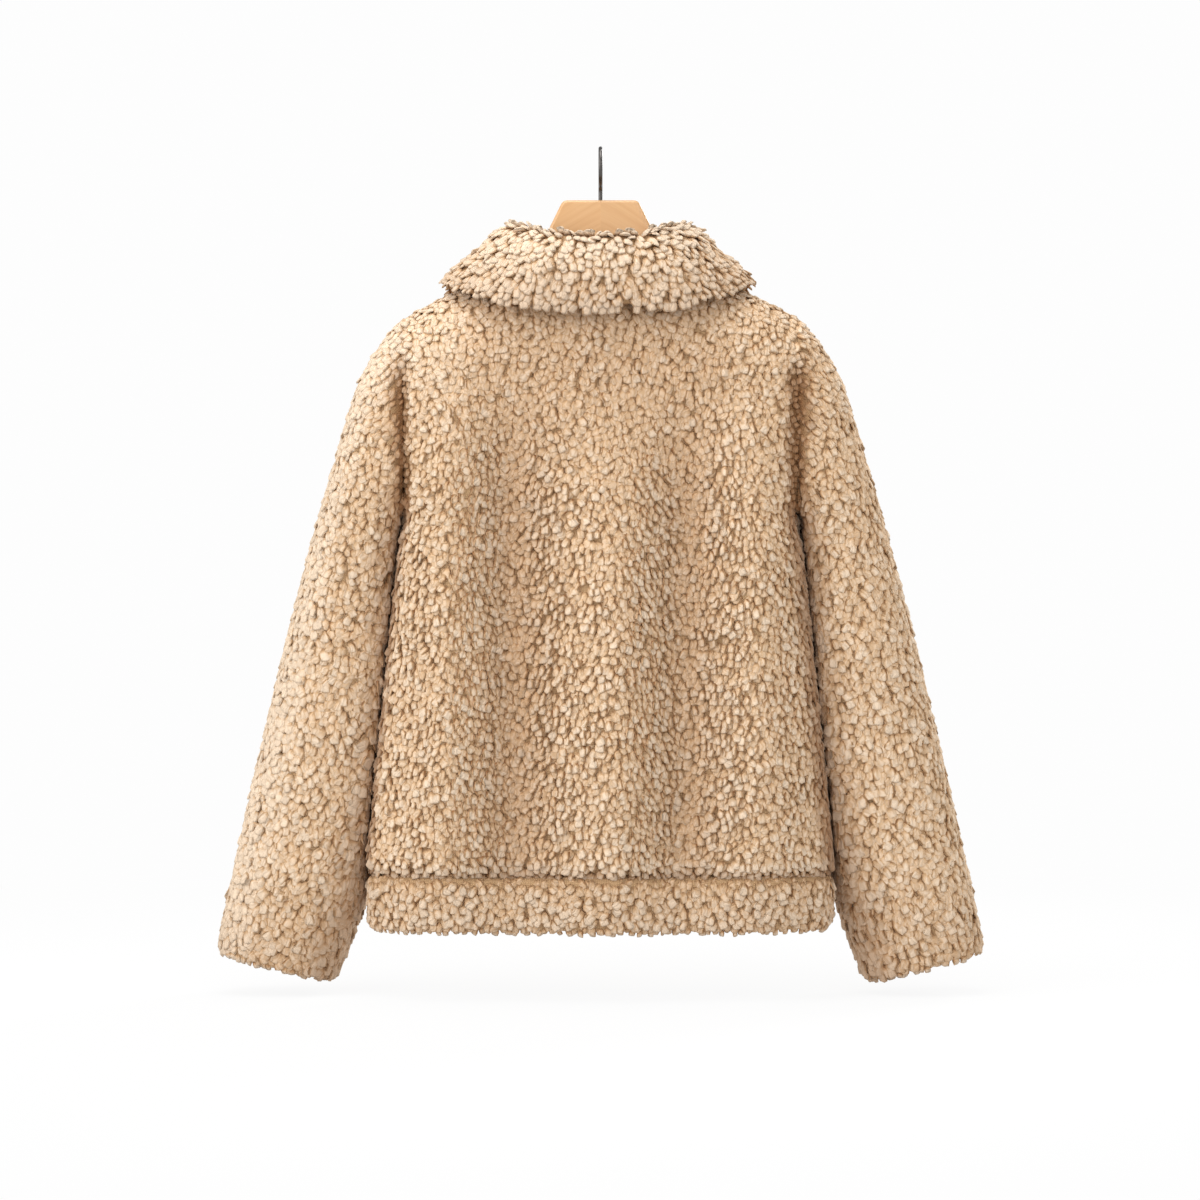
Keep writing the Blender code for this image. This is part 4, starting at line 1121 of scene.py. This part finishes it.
class Panel:
    """A panel's two faces, its nap, and what its pile is like at each of their points."""

    def __init__(self, name, outer, inner, nap, kind, tube=False):
        self.name = name
        self.outer = outer
        self.inner = inner
        self.out = unit(outer - inner)
        self.nap = nap
        self.kind = kind
        self.tube = tube
        grid = outer.shape[:2]
        # The locks' size, and how far below the outer face they part
        self.size = np.ones(grid)
        self.roots = np.full(grid, LOCKS_PART_AT)
        # Painted shade: how much darker and warmer its colour is made where shade falls
        self.deep = np.zeros(grid)
        # Painted light: where the creases between its locks are painted pale, on sides that face the light
        self.smooth = np.zeros(grid)
        # Where the lining's side has pile too
        self.lined = np.zeros(grid, bool)

    def sink(self, near, size, depth):
        """Where near is 1, locks have this size and part this far below the panel's outer face."""
        self.size = self.size * (1 + (size - 1) * near)
        self.roots = self.roots + (depth - self.roots) * near

    def paint_shade(self, near, share):
        """Where near is 1, the cloth's colour takes this share of painted shade."""
        self.deep = 1 - (1 - self.deep) * (1 - share * near)

    def trim(self, near, size, depth, turn):
        """Where near is 1, at an edge, locks are like that and turn in over it."""
        self.sink(near, size, depth)
        self.nap = self.nap - self.out * near[..., None] * turn


def below_shoulder(z):
    """0 on the shoulder, and 1 down the armhole, where the sleeve and the body part."""
    return rise(z, *BELOW_SHOULDER)


def groove(away, z):
    """1 in the groove along an armhole, for distances from it and heights."""
    return fade(away, *GROOVE_OUT) * below_shoulder(z) * rise(z, *ABOVE_UNDERARM)


def body_panel(name, side, outer, inner):
    """A panel of the body, whose nap runs down it and away from the crest of each fold."""
    x, z = outer[..., 0], outer[..., 2]
    slope = fold_slope(side, outer)
    nap = slope * NAP_SPREAD - unit(np.gradient(outer, axis=0))
    panel = Panel(name, outer, inner, nap, "body")
    panel.out = unit(panel.out + slope * FOLD_SHADING)
    to_side = np.where(z > UNDERARM_Z, ARMHOLE_X, BODY.read("half_width", z)) - np.abs(x)
    panel.sink(groove(to_side, z), *ARMHOLE_LOCKS)
    # Below the underarm the body's pile and the sleeve's meet.
    panel.sink(fade(to_side, *MEETING_OUT) * rise(z, *BELOW_UNDERARM), *UNDERARM_LOCKS)
    # Painted shade: in the crease beside a sleeve, above the band's seam, in the folds' troughs and under the
    # collar.
    crease_shade = fade(to_side, SIDE_CREASE_START, np.where(x < 0, *SIDE_CREASE_WIDTHS))
    panel.paint_shade(crease_shade * below_shoulder(z), BESIDE_SLEEVE_SHADE)
    panel.sink(fade(z, *BAND_SEAM_UP), *BODY_HEM_LOCKS)
    panel.paint_shade(fade(z, *BAND_SEAM_UP), BODY_HEM_SHADE)
    panel.paint_shade(np.clip(fold_height(side, x, z) / -TROUGH_DEPTH, 0, 1), TROUGH_SHADE)
    panel.paint_shade(rise(z, *UNDER_COLLAR_UP) * fade(np.abs(x), *UNDER_COLLAR_OUT), UNDER_COLLAR_SHADE)
    # Painted light on the shoulder at the wearer's left, which faces the key light.
    panel.smooth = SHOULDER_PAINTED_LIGHT * rise(x, *PAINTED_LIGHT_SHOULDER_OUT) * rise(z, *PAINTED_LIGHT_SHOULDER_UP)
    return panel


def make_back():
    halves = zip(half_panel(BACK, 1), half_panel(BACK, -1))
    outer, inner = [joined_at_middle(left, right) for left, right in halves]
    return body_panel("back", BACK, outer, inner)


def near_zip(outer):
    return fade(np.abs(outer[..., 0]), *ZIP_OUT)


def make_front(name, sign):
    outer, inner = half_panel(FRONT, sign)
    panel = body_panel(name, FRONT, outer, inner)
    # Next to the zip the locks lie away from it, and are short.
    panel.nap = panel.nap + near_zip(outer)[..., None] * np.array([sign, 0, 0])
    panel.sink(near_zip(outer), *FRONT_EDGE_LOCKS)
    return panel


def sleeve_section(step, turn):
    """One section's outer points, from its outermost point round by the back and then the front."""
    row = {name: SLEEVE.read(name, step) for name in SLEEVE.columns}
    waves = np.cos(turn), np.sin(turn)
    along, through = (np.sign(wave) * np.abs(wave) ** (2 / SLEEVE_POWER) for wave in waves)
    x = (row["outer_x"] + row["inner_x"]) / 2 + along * (row["outer_x"] - row["inner_x"]) / 2
    z = (row["outer_z"] + row["inner_z"]) / 2 + along * (row["outer_z"] - row["inner_z"]) / 2
    y = row["centre_y"] + through * row["half_depth"]
    return np.stack([x, y, z], axis=-1)


def armhole_section(sign, turn):
    """The armhole's own outline, which the sleeve starts from."""
    top_z = SHOULDER.read("z", ARMHOLE_X)
    z = (top_z + UNDERARM_Z) / 2 + np.cos(turn) * (top_z - UNDERARM_Z) / 2
    x = np.full_like(z, ARMHOLE_X)
    y = np.where(np.sin(turn) > 0, body_y(BACK, x * sign, z), body_y(FRONT, x * sign, z))
    return np.stack([x + SEAM_GAP, y, z], axis=-1)


def clear_of_body(points):
    """Points moved outwards to where the body's side, or the armhole's plane, leaves room."""
    x, y, z = points[..., 0], points[..., 1], points[..., 2]
    depth = BODY.read("back_depth", z)
    power = BODY.read("power", z)
    side_x = BODY.read("half_width", z) * (1 - np.clip(np.abs(y) / depth, 0, 1) ** power) ** (1 / power)
    least = np.where(z < UNDERARM_Z, side_x + SLEEVE_CLEARANCE, ARMHOLE_X + SEAM_GAP)
    return np.stack([np.maximum(x, least), y, z], axis=-1)


def ring_inwards(points):
    """Unit directions into each ring of a tube, square to the ring's own run and to the tube's."""
    round_run = np.roll(points, -1, axis=1) - np.roll(points, 1, axis=1)
    down_run = np.gradient(points, axis=0)
    inwards = unit(np.cross(round_run, down_run))
    centre = points.mean(axis=1, keepdims=True)
    facing = np.sign(np.sum(inwards * (centre - points), axis=-1, keepdims=True))
    return inwards * np.where(facing == 0, 1, facing)


def make_sleeve(name, sign):
    turn = np.linspace(0, 2 * math.pi, SLEEVE_SIDES, endpoint=False)
    steps = SLEEVE.key[-1] * np.linspace(0, 1, SLEEVE_RINGS) ** RING_SPACING_POWER
    rings = []
    for step in steps:
        blend = ease(step / ARMHOLE_BLEND)
        rings.append(armhole_section(sign, turn) * (1 - blend) + sleeve_section(step, turn) * blend)
    outer = np.array(rings)
    outer[1:] = clear_of_body(outer[1:])
    inwards = ring_inwards(outer)
    inwards[0, :, 0] = 0
    inner = outer + unit(inwards) * WALL
    inner[..., 0] = np.maximum(inner[..., 0], ARMHOLE_X + SEAM_GAP)
    nap = unit(np.gradient(outer, axis=0))
    if sign < 0:
        outer, inner, nap = mirrored(outer), mirrored(inner), mirrored(nap)
    panel = Panel(name, outer, inner, nap, "sleeve", tube=True)
    least, more = SLEEVE_LOCK_SIZES
    panel.size = panel.size * (least + more * ease((steps / SLEEVE.key[-1])[:, None]))
    z = outer[..., 2]
    outwards = np.cos(turn)
    away = np.linalg.norm(outer - outer[:1], axis=-1)
    panel.sink(groove(away, z), *ARMHOLE_LOCKS)
    # Painted shade beside the armhole, on the sleeve's inner side towards the body, and towards the cuff.
    panel.paint_shade(fade(away, *SLEEVE_CREASE) * below_shoulder(z), BESIDE_SLEEVE_SHADE)
    panel.paint_shade(rise(outwards, *SLEEVE_INSIDE) * below_shoulder(z), SLEEVE_INSIDE_SHADE)
    meeting = rise(outwards, *SLEEVE_MEETING) * rise(away, *SLEEVE_MEETING_DOWN)
    panel.sink(meeting * below_shoulder(z), *SLEEVE_INSIDE_LOCKS)
    panel.paint_shade(rise(z, *CUFF_DOWN), CUFF_SHADE)
    # Painted light on the outer side of the sleeve at the wearer's left, which faces the key light.
    if sign > 0:
        panel.smooth = panel.smooth + SLEEVE_PAINTED_LIGHT * rise(outwards, *PAINTED_LIGHT_SLEEVE)
    to_cuff = np.linalg.norm(outer - outer[-1:], axis=-1)
    panel.trim(fade(to_cuff, *TO_CUFF), *CUFF_LOCKS, CUFF_TURN)
    return panel


def finer_rows(grid, factor):
    """A grid with more rows, on a smooth curve through the rows that it has."""
    rows = len(grid)
    at = np.linspace(0, rows - 1, (rows - 1) * factor + 1)
    cell = np.clip(at.astype(int), 0, rows - 2)
    t = (at - cell)[:, None, None]
    before = grid[np.maximum(cell - 1, 0)]
    start, end = grid[cell], grid[cell + 1]
    after = grid[np.minimum(cell + 2, rows - 1)]
    bend = (
        2 * start
        + (end - before) * t
        + (2 * before - 5 * start + 4 * end - after) * t**2
        + (3 * start - before - 3 * end + after) * t**3
    )
    return bend / 2


def collar_base():
    """The neck seam from the left front round the back to the right front, midway through the cloth."""
    edges = []
    for face in (0, 1):
        left_front, right_front = (half_panel(FRONT, sign)[face][-1, : NECK_CELLS + 1] for sign in (1, -1))
        left_back, right_back = (half_panel(BACK, sign)[face][-1, : NECK_CELLS + 1] for sign in (1, -1))
        left_back[-1, 1] = right_back[-1, 1] = 0
        edges.append(np.concatenate([left_front[:-1], left_back[::-1], right_back[1:], right_front[-2::-1]]))
    return sum(edges) / 2


def collar_lines():
    """The middle of the collar's cloth, in rows from the neck seam over the fold to its edge.

    With them come the places round the neck, from -2 to 2 with 0 at the back, and the way outwards at each.
    """
    base = collar_base()
    around = np.linspace(-2, 2, len(base))
    side = np.where(around < 0, 1.0, -1.0)

    def place(name):
        x, y, z = (COLLAR.read(f"{name}_{axis}", np.abs(around)) for axis in "xyz")
        return np.stack([x * side + COLLAR_SHIFT * ease(2 - np.abs(around)), y, z], axis=-1)

    fold, fall, edge = place("fold"), place("fall"), place("edge")
    edge = edge - unit(edge - fall) * COLLAR_EDGE_SET_BACK
    out = unit((fall - fold) * np.array([1, 1, 0]))
    radius = COLLAR_FOLD_RADIUS
    stand = (base + fold) / 2 - out * radius * COLLAR_STAND_LEAN
    tilt = math.sin(math.pi / 4)
    before = fold - out * radius * tilt - UP * radius * (1 - tilt)
    after = fold + out * radius * tilt - UP * radius * (1 - tilt)
    of_fold, of_fall, swell = COLLAR_SWELL
    swollen = fold * of_fold + fall * of_fall + out * radius * swell
    line = np.stack([base, stand, before, fold, after, swollen, fall, (fall + edge) / 2, edge])
    return finer_rows(line, COLLAR_FINER), around, out


def make_collar():
    line, around, out = collar_lines()
    normals = cloth_normals(line)
    normals *= np.sign(normals[COLLAR_FOLD_ROW * COLLAR_FINER, len(around) // 2, 2])
    shown = line + normals * (COLLAR_WALL / 2)
    hidden = line - normals * (COLLAR_WALL / 2)
    panel = Panel("collar", shown, hidden, unit(np.gradient(line, axis=0)), "collar")
    # The pile parts on the neck's side of the fold, lies over it and hangs over the edge. Where the two ends
    # part in front, the collar's other side shows, with pile too. Rows are counted from the fold.
    rows = (np.arange(len(line)) / COLLAR_FINER - COLLAR_FOLD_ROW)[:, None]
    x = np.abs(shown[..., 0])
    on_fold = bell(rows, *ON_FOLD)
    behind = bell(rows, *BEHIND_FOLD)[..., None]
    up, away = BEHIND_FOLD_TURN
    panel.out = unit(panel.out + (UP * up + out * away) * behind)
    panel.nap = panel.nap * np.where(rows < PARTING_ROW, -1.0, 1.0)[..., None]
    panel.nap = panel.nap + panel.out * on_fold[..., None] * FOLD_STAND
    panel.sink(on_fold, *FOLD_LOCKS)
    panel.sink(bell(rows, *PARTING), *PARTING_LOCKS)
    # At the zip's top the two ends meet with shorter pile, which leaves the swung pull free.
    in_front = np.abs(around) > COLLAR_FRONT
    panel.sink(fade(x, *ZIP_TOP_OUT) * in_front, *ZIP_TOP_LOCKS)
    # Painted shade over the collar's fall, more of it towards the edge.
    panel.paint_shade(rise(rows, *COLLAR_FALL), COLLAR_FALL_SHADE)
    # Painted light on the collar's half at the wearer's left, and on and behind its fold, which faces up.
    painted_light_left_half = COLLAR_PAINTED_LIGHT * rise(shown[..., 0], *PAINTED_LIGHT_COLLAR_OUT)
    panel.smooth = np.maximum(FOLD_PAINTED_LIGHT * fade(rows, *PAINTED_LIGHT_COLLAR_FOLD), painted_light_left_half)
    panel.lined = (rows < LINED_ROW) & (np.abs(around) > COLLAR_LINED)
    to_edge = np.linalg.norm(shown - shown[-1:], axis=-1)
    large, small = COLLAR_EDGE_SIZES
    edge_size = large - (large - small) * rise(x, *COLLAR_POINT_OUT)
    panel.trim(fade(to_edge, *TO_COLLAR_EDGE), edge_size, COLLAR_EDGE_DEPTH, COLLAR_TURN)
    return panel


def make_hem_band():
    levels = np.linspace(HEM_Z + HEM_EDGE_SET_BACK, BAND_PROFILE.key[-1], BAND_ROWS)[:, None]
    spacing = section_fractions(np.linspace(0, 1, NECK_CELLS + SHOULDER_CELLS + 1))
    halves = []
    for sign in (1, -1):
        runs = []
        for side, middle_x in ((FRONT, ZIP_HALF_GAP), (BACK, 0.0)):
            x = np.maximum(BODY.read("half_width", levels) * spacing, middle_x)
            z = levels + np.zeros_like(x)
            runs.append(np.stack([x * sign, body_y(side, x * sign, z), z], axis=-1))
        front, back = runs
        halves.append(np.concatenate([front, back[:, -2::-1]], axis=1))
    left, right = halves
    path = np.concatenate([left, right[:, -2::-1]], axis=1)
    run = np.gradient(path, axis=1)
    outwards = np.stack([run[..., 1], -run[..., 0], np.zeros(run.shape[:2])], axis=-1)
    outwards *= np.sign(outwards[3, len(spacing) - 1, 0])
    outwards[:, (0, -1), 0] = 0
    outwards = unit(outwards)
    outer = path + outwards * BAND_PROFILE.read("outer", levels)[..., None]
    panel = Panel("hem_band", outer, path - outwards * WALL, np.zeros_like(outer) - UP, "band")
    # Painted shade over the whole band, and more of it just below its seam.
    panel.paint_shade(1.0, BAND_SHADE)
    panel.sink(fade(levels, *BAND_TOP_DOWN), *BAND_TOP_LOCKS)
    panel.paint_shade(fade(levels, *BAND_SEAM_DOWN), BAND_TOP_SHADE)
    panel.trim(fade(levels - levels[0], *TO_CUFF), *CUFF_LOCKS, CUFF_TURN)
    panel.sink(near_zip(outer) * (outer[..., 1] < 0), *BAND_END_LOCKS)
    return panel


def dress(panel, backing_finish, pile_group, seed):
    """The panel's backing and its pile, in place of its solid."""
    skin = panel.outer - unit(panel.outer - panel.inner) * panel.roots[..., None]
    mesh = shell(f"{panel.name}_backing", skin, panel.inner, panel.tube, panel.lined)
    # The lining's points come after the skin's, and their directions are the other way round.
    for name in ("nap", "out"):
        values = getattr(panel, name)
        store(mesh, name, "FLOAT_VECTOR", np.concatenate([values, -values]))
    for name in ("size", "deep", "smooth"):
        values = getattr(panel, name)
        store(mesh, name, "FLOAT", np.concatenate([values, values]))
    values = dict(zip(LOCK_COLUMNS, LOCKS[panel.kind]))
    pile = grow(f"{panel.name}_pile", mesh, pile_group, {**values, "Seed": seed})
    backing = add_object(f"{panel.name}_backing", mesh)
    mesh.materials.append(backing_finish)
    for name in ("nap", "out", "size", "piled"):
        mesh.attributes.remove(mesh.attributes[name])
    for piece in (backing, pile):
        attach(piece, "jacket")
    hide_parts(panel.name)


# Zip


def zip_points(x, depth, z):
    """Places behind the fronts' middle, at these depths below their outer face."""
    x, depth, z = np.broadcast_arrays(x, depth, z)
    return np.stack([x, body_y(FRONT, x, z) + depth, z], axis=-1)


def slider_face_y():
    return float(zip_points(0.0, CHAIN_DEPTH[0], np.array([SLIDER_Z]))[0, 1]) - SEAM_GAP - SLIDER_DEPTH


def prism(outline, half_depth, axis, rounding, steps=4, middle=0.0):
    """Points and faces of an outline made solid along an axis, to both sides of a middle, with round rims."""
    outline = np.array(outline)
    following = np.roll(outline, -1, axis=0)
    run = following - np.roll(outline, 1, axis=0)
    inwards = unit(np.stack([-run[:, 1], run[:, 0]], axis=1))
    inwards *= np.sign(np.sum(outline[:, 0] * following[:, 1] - outline[:, 1] * following[:, 0]))
    turns = np.linspace(0, math.pi / 2, steps)
    rims = [(rounding * (1 - math.cos(turn)), rounding * (1 - math.sin(turn))) for turn in turns]
    layers = [(inset, middle - half_depth + lift) for inset, lift in reversed(rims)]
    layers += [(inset, middle + half_depth - lift) for inset, lift in rims]
    rings = [np.insert(outline + inwards * inset, axis, at, axis=1) for inset, at in layers]
    return np.concatenate(rings), ring_faces(len(rings), len(outline))


def merged(first, second):
    """Two solids' points and faces as one list of each."""
    (points, faces), (more_points, more_faces) = first, second
    moved = [[len(points) + corner for corner in face] for face in more_faces]
    return np.concatenate([points, more_points]), faces + moved


def rounded_corners(outline, radius, steps=5):
    """An outline whose corners are arcs of at most this radius."""
    points = []
    outline = np.array(outline)
    for before, corner, after in zip(np.roll(outline, 1, axis=0), outline, np.roll(outline, -1, axis=0)):
        back, on = unit(before - corner), unit(after - corner)
        opening = math.acos(np.clip(back @ on, -1, 1))
        if opening > NEARLY_STRAIGHT:
            points.append(corner)
            continue
        room = min(np.linalg.norm(before - corner), np.linalg.norm(after - corner)) * ARC_SHARE
        reach = min(radius / math.tan(opening / 2), room)
        for t in np.linspace(0, 1, steps):
            points.append(corner + back * reach * (1 - t) ** 2 + on * reach * t**2)
    return np.array(points)


def teeth_tree(tooth, finish):
    """Teeth along a line, each one turned to the other side from the one before."""
    made, tree, given = group("teeth", {"Pitch": "Float"})
    curve = tree.node("GeometryNodeMeshToCurve", inputs={"Mesh": given["Geometry"]})
    inputs = {"Curve": curve, "Length": given["Pitch"] * 0.5}
    spots = tree.node("GeometryNodeResampleCurve", {"mode": "LENGTH"}, inputs)
    other_side = tree.node("GeometryNodeInputIndex").math("MODULO", 2.0) * math.pi
    turned = tree.node("FunctionNodeEulerToRotation", inputs={0: (0.0, 0.0, other_side)})
    inputs = {"Points": spots, "Instance": tree.instance(tooth), "Rotation": turned}
    finish_tree(tree, tree.realized(tree.node("GeometryNodeInstanceOnPoints", inputs=inputs)), finish)
    return made


def make_teeth(finish):
    """Moulded teeth, each reaching over the chain's middle from the tape at its side."""
    z = np.linspace(ZIP_BOTTOM_Z + TOOTH_PITCH / 2, ZIP_TOP_Z - TOOTH_PITCH / 2, ZIP_ROWS)
    line = bpy.data.meshes.new("zip_line")
    points = [tuple(point) for point in zip_points(0.0, sum(CHAIN_DEPTH) / 2, z)]
    line.from_pydata(points, [(row, row + 1) for row in range(len(points) - 1)], [])
    outline = [*TOOTH_HALF, *[(x, -z) for x, z in TOOTH_HALF[-2:0:-1]]]
    solid = prism(outline, (CHAIN_DEPTH[1] - CHAIN_DEPTH[0]) / 2, 1, TOOTH_ROUNDING, 2)
    tooth = hard_piece("tooth", *solid, finish, sharp=50.0)
    teeth = grow("zip_teeth", line, teeth_tree(tooth, finish), {"Pitch": TOOTH_PITCH})
    bpy.data.objects.remove(tooth)
    show(teeth, "jacket", "zip_chain")


def make_tape(side, sign, finish):
    z = np.linspace(ZIP_BOTTOM_Z, ZIP_TOP_Z, ZIP_ROWS)[:, None]
    x = np.linspace(*TAPE_X, TAPE_CELLS)
    skin, lining = (zip_points(x, depth, z) * np.array([sign, 1, 1]) for depth in TAPE_DEPTH)
    mesh = shell(f"tape_{side}", skin, lining)
    mesh.attributes.remove(mesh.attributes["piled"])
    mesh.materials.append(finish)
    tape = add_object(f"tape_{side}", mesh)
    show(tape, "jacket", f"zip_tape_{side}")


def make_slider(finish):
    """The slider's plate, and the arch on it that holds the pull."""
    face_y = slider_face_y()
    lifted = np.array([0, SLIDER_Z])
    outline = np.array([*SLIDER_HALF, *[(-x, z) for x, z in reversed(SLIDER_HALF)]]) + lifted
    half = SLIDER_DEPTH / 2
    corner, rounding = SLIDER_ROUNDING
    plate = prism(rounded_corners(outline, corner), half, 1, rounding, middle=face_y + half)
    back, root = face_y - AXIS_OFF_SLIDER - ARCH_OFF_AXIS, face_y + half
    top, inner = back - ARCH_BAR, ARCH_HALF - ARCH_BAR
    outside = [(root, ARCH_HALF), (top, ARCH_HALF), (top, -ARCH_HALF), (root, -ARCH_HALF)]
    inside = [(root, -inner), (back, -inner), (back, inner), (root, inner)]
    corner, rounding = ARCH_ROUNDING
    outline = rounded_corners(np.array(outside + inside) + lifted, corner)
    arch = prism(outline, ARCH_WIDTH / 2, 0, rounding, 3)
    show(hard_piece("slider", *merged(plate, arch), finish), "jacket", "zip_slider")


def make_pull(finish):
    """The tab on the slider: a rounded plate round an eye, with a raised rim."""
    width, thickness, length = PULL_SIZE
    axis_y = slider_face_y() - AXIS_OFF_SLIDER
    top, foot = PULL_BAR / 2, PULL_BAR / 2 - length
    box = [(-width / 2, foot), (width / 2, foot), (width / 2, top), (-width / 2, top)]
    corners = rounded_corners(box, PULL_CORNER, 6)
    pairs = zip(corners, np.roll(corners, -1, axis=0))
    outline = np.concatenate([np.linspace(start, end, 4)[:-1] for start, end in pairs])
    eye_middle = np.array([0, -PULL_BAR / 2 - PULL_EYE[1] / 2])
    away = outline - eye_middle
    turn = np.arctan2(away[:, 1] / PULL_EYE[1], away[:, 0] / PULL_EYE[0])
    grown = (np.abs(np.cos(turn)) ** 4 + np.abs(np.sin(turn)) ** 4) ** -0.25
    spokes = np.stack([np.cos(turn), np.sin(turn)], axis=1)
    eye = eye_middle + spokes * np.array(PULL_EYE) / 2 * grown[:, None]
    half = thickness / 2
    inset = unit(eye - outline) * PULL_EDGE
    rim_y = PULL_EDGE - half
    front = [(eye, rim_y), (eye - inset, -half), (outline + inset, -half), (outline, rim_y)]
    layers = front + [(ring, -y) for ring, y in reversed(front)]
    place = np.array([0, axis_y, SLIDER_Z])
    points = np.concatenate([np.insert(ring, 1, y, axis=1) + place for ring, y in layers])
    tab = hard_piece("pull_tab", points, ring_faces(len(layers), len(outline), looped=True), finish)
    show(tab, "pull", "zip_pull")


# Hanger


def make_hanger(finish):
    """The wood: from the block along the shoulder to a tip and back underneath, and the same mirrored."""
    seam = half_panel(BACK, 1)[1][-1, NECK_CELLS:]
    arm_x = np.linspace(*HANGER_ARM_X, HANGER_ARM_POINTS)
    arm = np.stack([arm_x, np.interp(arm_x, seam[:, 0], seam[:, 2]) - HANGER_CLEARANCE], axis=1)
    tip = arm[-1] + np.array([HANGER_TIP_X - HANGER_ARM_X[1], -HANGER_TIP_DROP])
    below_x = np.linspace(HANGER_TIP_X, 0, HANGER_UNDERSIDE_POINTS)
    below = np.stack([below_x, HANGER_UNDERSIDE.read("z", below_x)], axis=1)
    below[0, 1] += HANGER_TIP_DROP
    half = np.concatenate([HANGER_BLOCK, arm, [tip], below])
    other_half = half[::-1] * np.array([-1.0, 1.0])
    outline = rounded_corners(np.concatenate([half, other_half[1:]]), HANGER_CORNER)
    solid = prism(outline, HANGER_THICKNESS / 2, 1, HANGER_ROUNDING, 6)
    show(hard_piece("hanger_wood", *solid, finish), "jacket", "hanger")


def make_hook(finish):
    """The wire: a straight shank, a bend off to the back, and the hook round a rail, with a rounded end."""
    centre_z = WIRE_RADIUS - HOOK_RADIUS
    drop = centre_z - SHANK_TOP_Z
    bend_radius = (drop**2 - HOOK_RADIUS**2) / (2 * HOOK_RADIUS)
    joint = math.atan2(-drop, bend_radius)
    shank = [(0.0, z) for z in np.linspace(SHANK_BOTTOM_Z, SHANK_TOP_Z, SHANK_POINTS)]
    bend = np.linspace(math.pi, joint + math.pi, BEND_POINTS)[1:]
    turn = np.linspace(joint, HOOK_END_ANGLE, HOOK_POINTS)[1:]
    bent = [(bend_radius * (1 + math.cos(a)), SHANK_TOP_Z + bend_radius * math.sin(a)) for a in bend]
    hooked = [(HOOK_RADIUS * math.cos(a), centre_z + HOOK_RADIUS * math.sin(a)) for a in turn]
    path = np.array(shank + bent + hooked)
    ends = np.linspace(0, math.pi / 2, END_POINTS)[1:-1]
    last = unit(path[-1] - path[-2])
    tip = [path[-1] + last * WIRE_RADIUS * (math.sin(a) - 1) for a in ends]
    radii = [WIRE_RADIUS] * (len(path) - 2) + [WIRE_RADIUS * math.cos(a) for a in ends]
    path = np.concatenate([path[:-2], tip])
    run = unit(np.gradient(path, axis=0))
    points = []
    for (y, z), (run_y, run_z), radius in zip(path, run, radii):
        for angle in np.linspace(0, 2 * math.pi, WIRE_SIDES, endpoint=False):
            lift = radius * math.sin(angle)
            points.append((radius * math.cos(angle), y - run_z * lift, z + run_y * lift))
    wire = hard_piece("hook_wire", points, ring_faces(len(path), WIRE_SIDES), finish)
    show(wire, "jacket", "hook")


# Studio


def make_camera():
    data = bpy.data.cameras.new("camera")
    data.lens = CAMERA_LENS
    data.sensor_width = CAMERA_SENSOR
    camera = add_object("camera", data)
    camera.location = CAMERA_AT
    camera.rotation_euler = (math.pi / 2, 0, math.pi)
    bpy.context.scene.camera = camera


def make_studio():
    world = bpy.data.worlds.new("studio")
    bpy.context.scene.world = world
    world.use_nodes = True
    tree = Tree(world.node_tree)
    seen = tree.node("ShaderNodeLightPath", output="Is Camera Ray")
    sky = world.node_tree.nodes["Background"]
    tree.feed(sky.inputs["Color"], WHITE_SURROUND)
    tree.feed(sky.inputs["Strength"], AMBIENT + seen * (1.0 - AMBIENT))
    for name, (place, size, power) in LIGHTS.items():
        data = bpy.data.lights.new(name, "AREA")
        data.shape = "DISK"
        data.size = size
        data.energy = power
        light = add_object(name, data)
        light.location = place
        light.rotation_euler = (Vector(LIGHTS_AIM) - Vector(place)).to_track_quat("-Z", "Y").to_euler()
    shape = bmesh.new()
    bmesh.ops.create_circle(shape, cap_ends=True, segments=64, radius=FLOOR_RADIUS)
    bmesh.ops.translate(shape, vec=(0, 0, FLOOR_Z), verts=shape.verts)
    mesh = bpy.data.meshes.new("floor")
    shape.to_mesh(mesh)
    shape.free()
    mesh.materials.append(floor_material())
    add_object("floor", mesh)
    bpy.context.scene.view_settings.view_transform = "Standard"


make_camera()
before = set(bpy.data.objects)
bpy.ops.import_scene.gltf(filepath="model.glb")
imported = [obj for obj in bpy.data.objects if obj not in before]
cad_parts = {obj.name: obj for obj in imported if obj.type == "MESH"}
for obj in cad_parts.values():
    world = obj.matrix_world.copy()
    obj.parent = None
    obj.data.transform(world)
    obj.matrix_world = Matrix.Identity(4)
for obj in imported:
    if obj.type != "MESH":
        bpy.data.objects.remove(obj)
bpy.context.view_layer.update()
make_studio()

lock_meshes = [lock_mesh(f"lock_{index}", *shape) for index, shape in enumerate(LOCK_SHAPES)]
lock_objects = [add_object(mesh.name, mesh) for mesh in lock_meshes]
pile_group = pile_tree(lock_objects, pile_material())
knit_finish = knit_material()
panels = [
    make_back(),
    make_front("front_left", 1),
    make_front("front_right", -1),
    make_sleeve("sleeve_left", 1),
    make_sleeve("sleeve_right", -1),
    make_collar(),
    make_hem_band(),
]
for seed, panel in enumerate(panels, 1):
    dress(panel, knit_finish, pile_group, seed)
for lock_object in lock_objects:
    bpy.data.objects.remove(lock_object)

tape_finish = tape_material()
metal_finish = metal_material("zip_metal", TOOTH, 0.35, 0.2)
make_tape("left", 1, tape_finish)
make_tape("right", -1, tape_finish)
make_teeth(metal_finish)
make_slider(metal_finish)
make_pull(metal_finish)
make_hanger(beech_material())
make_hook(metal_material("steel_wire", STEEL, 0.30, 0.0))
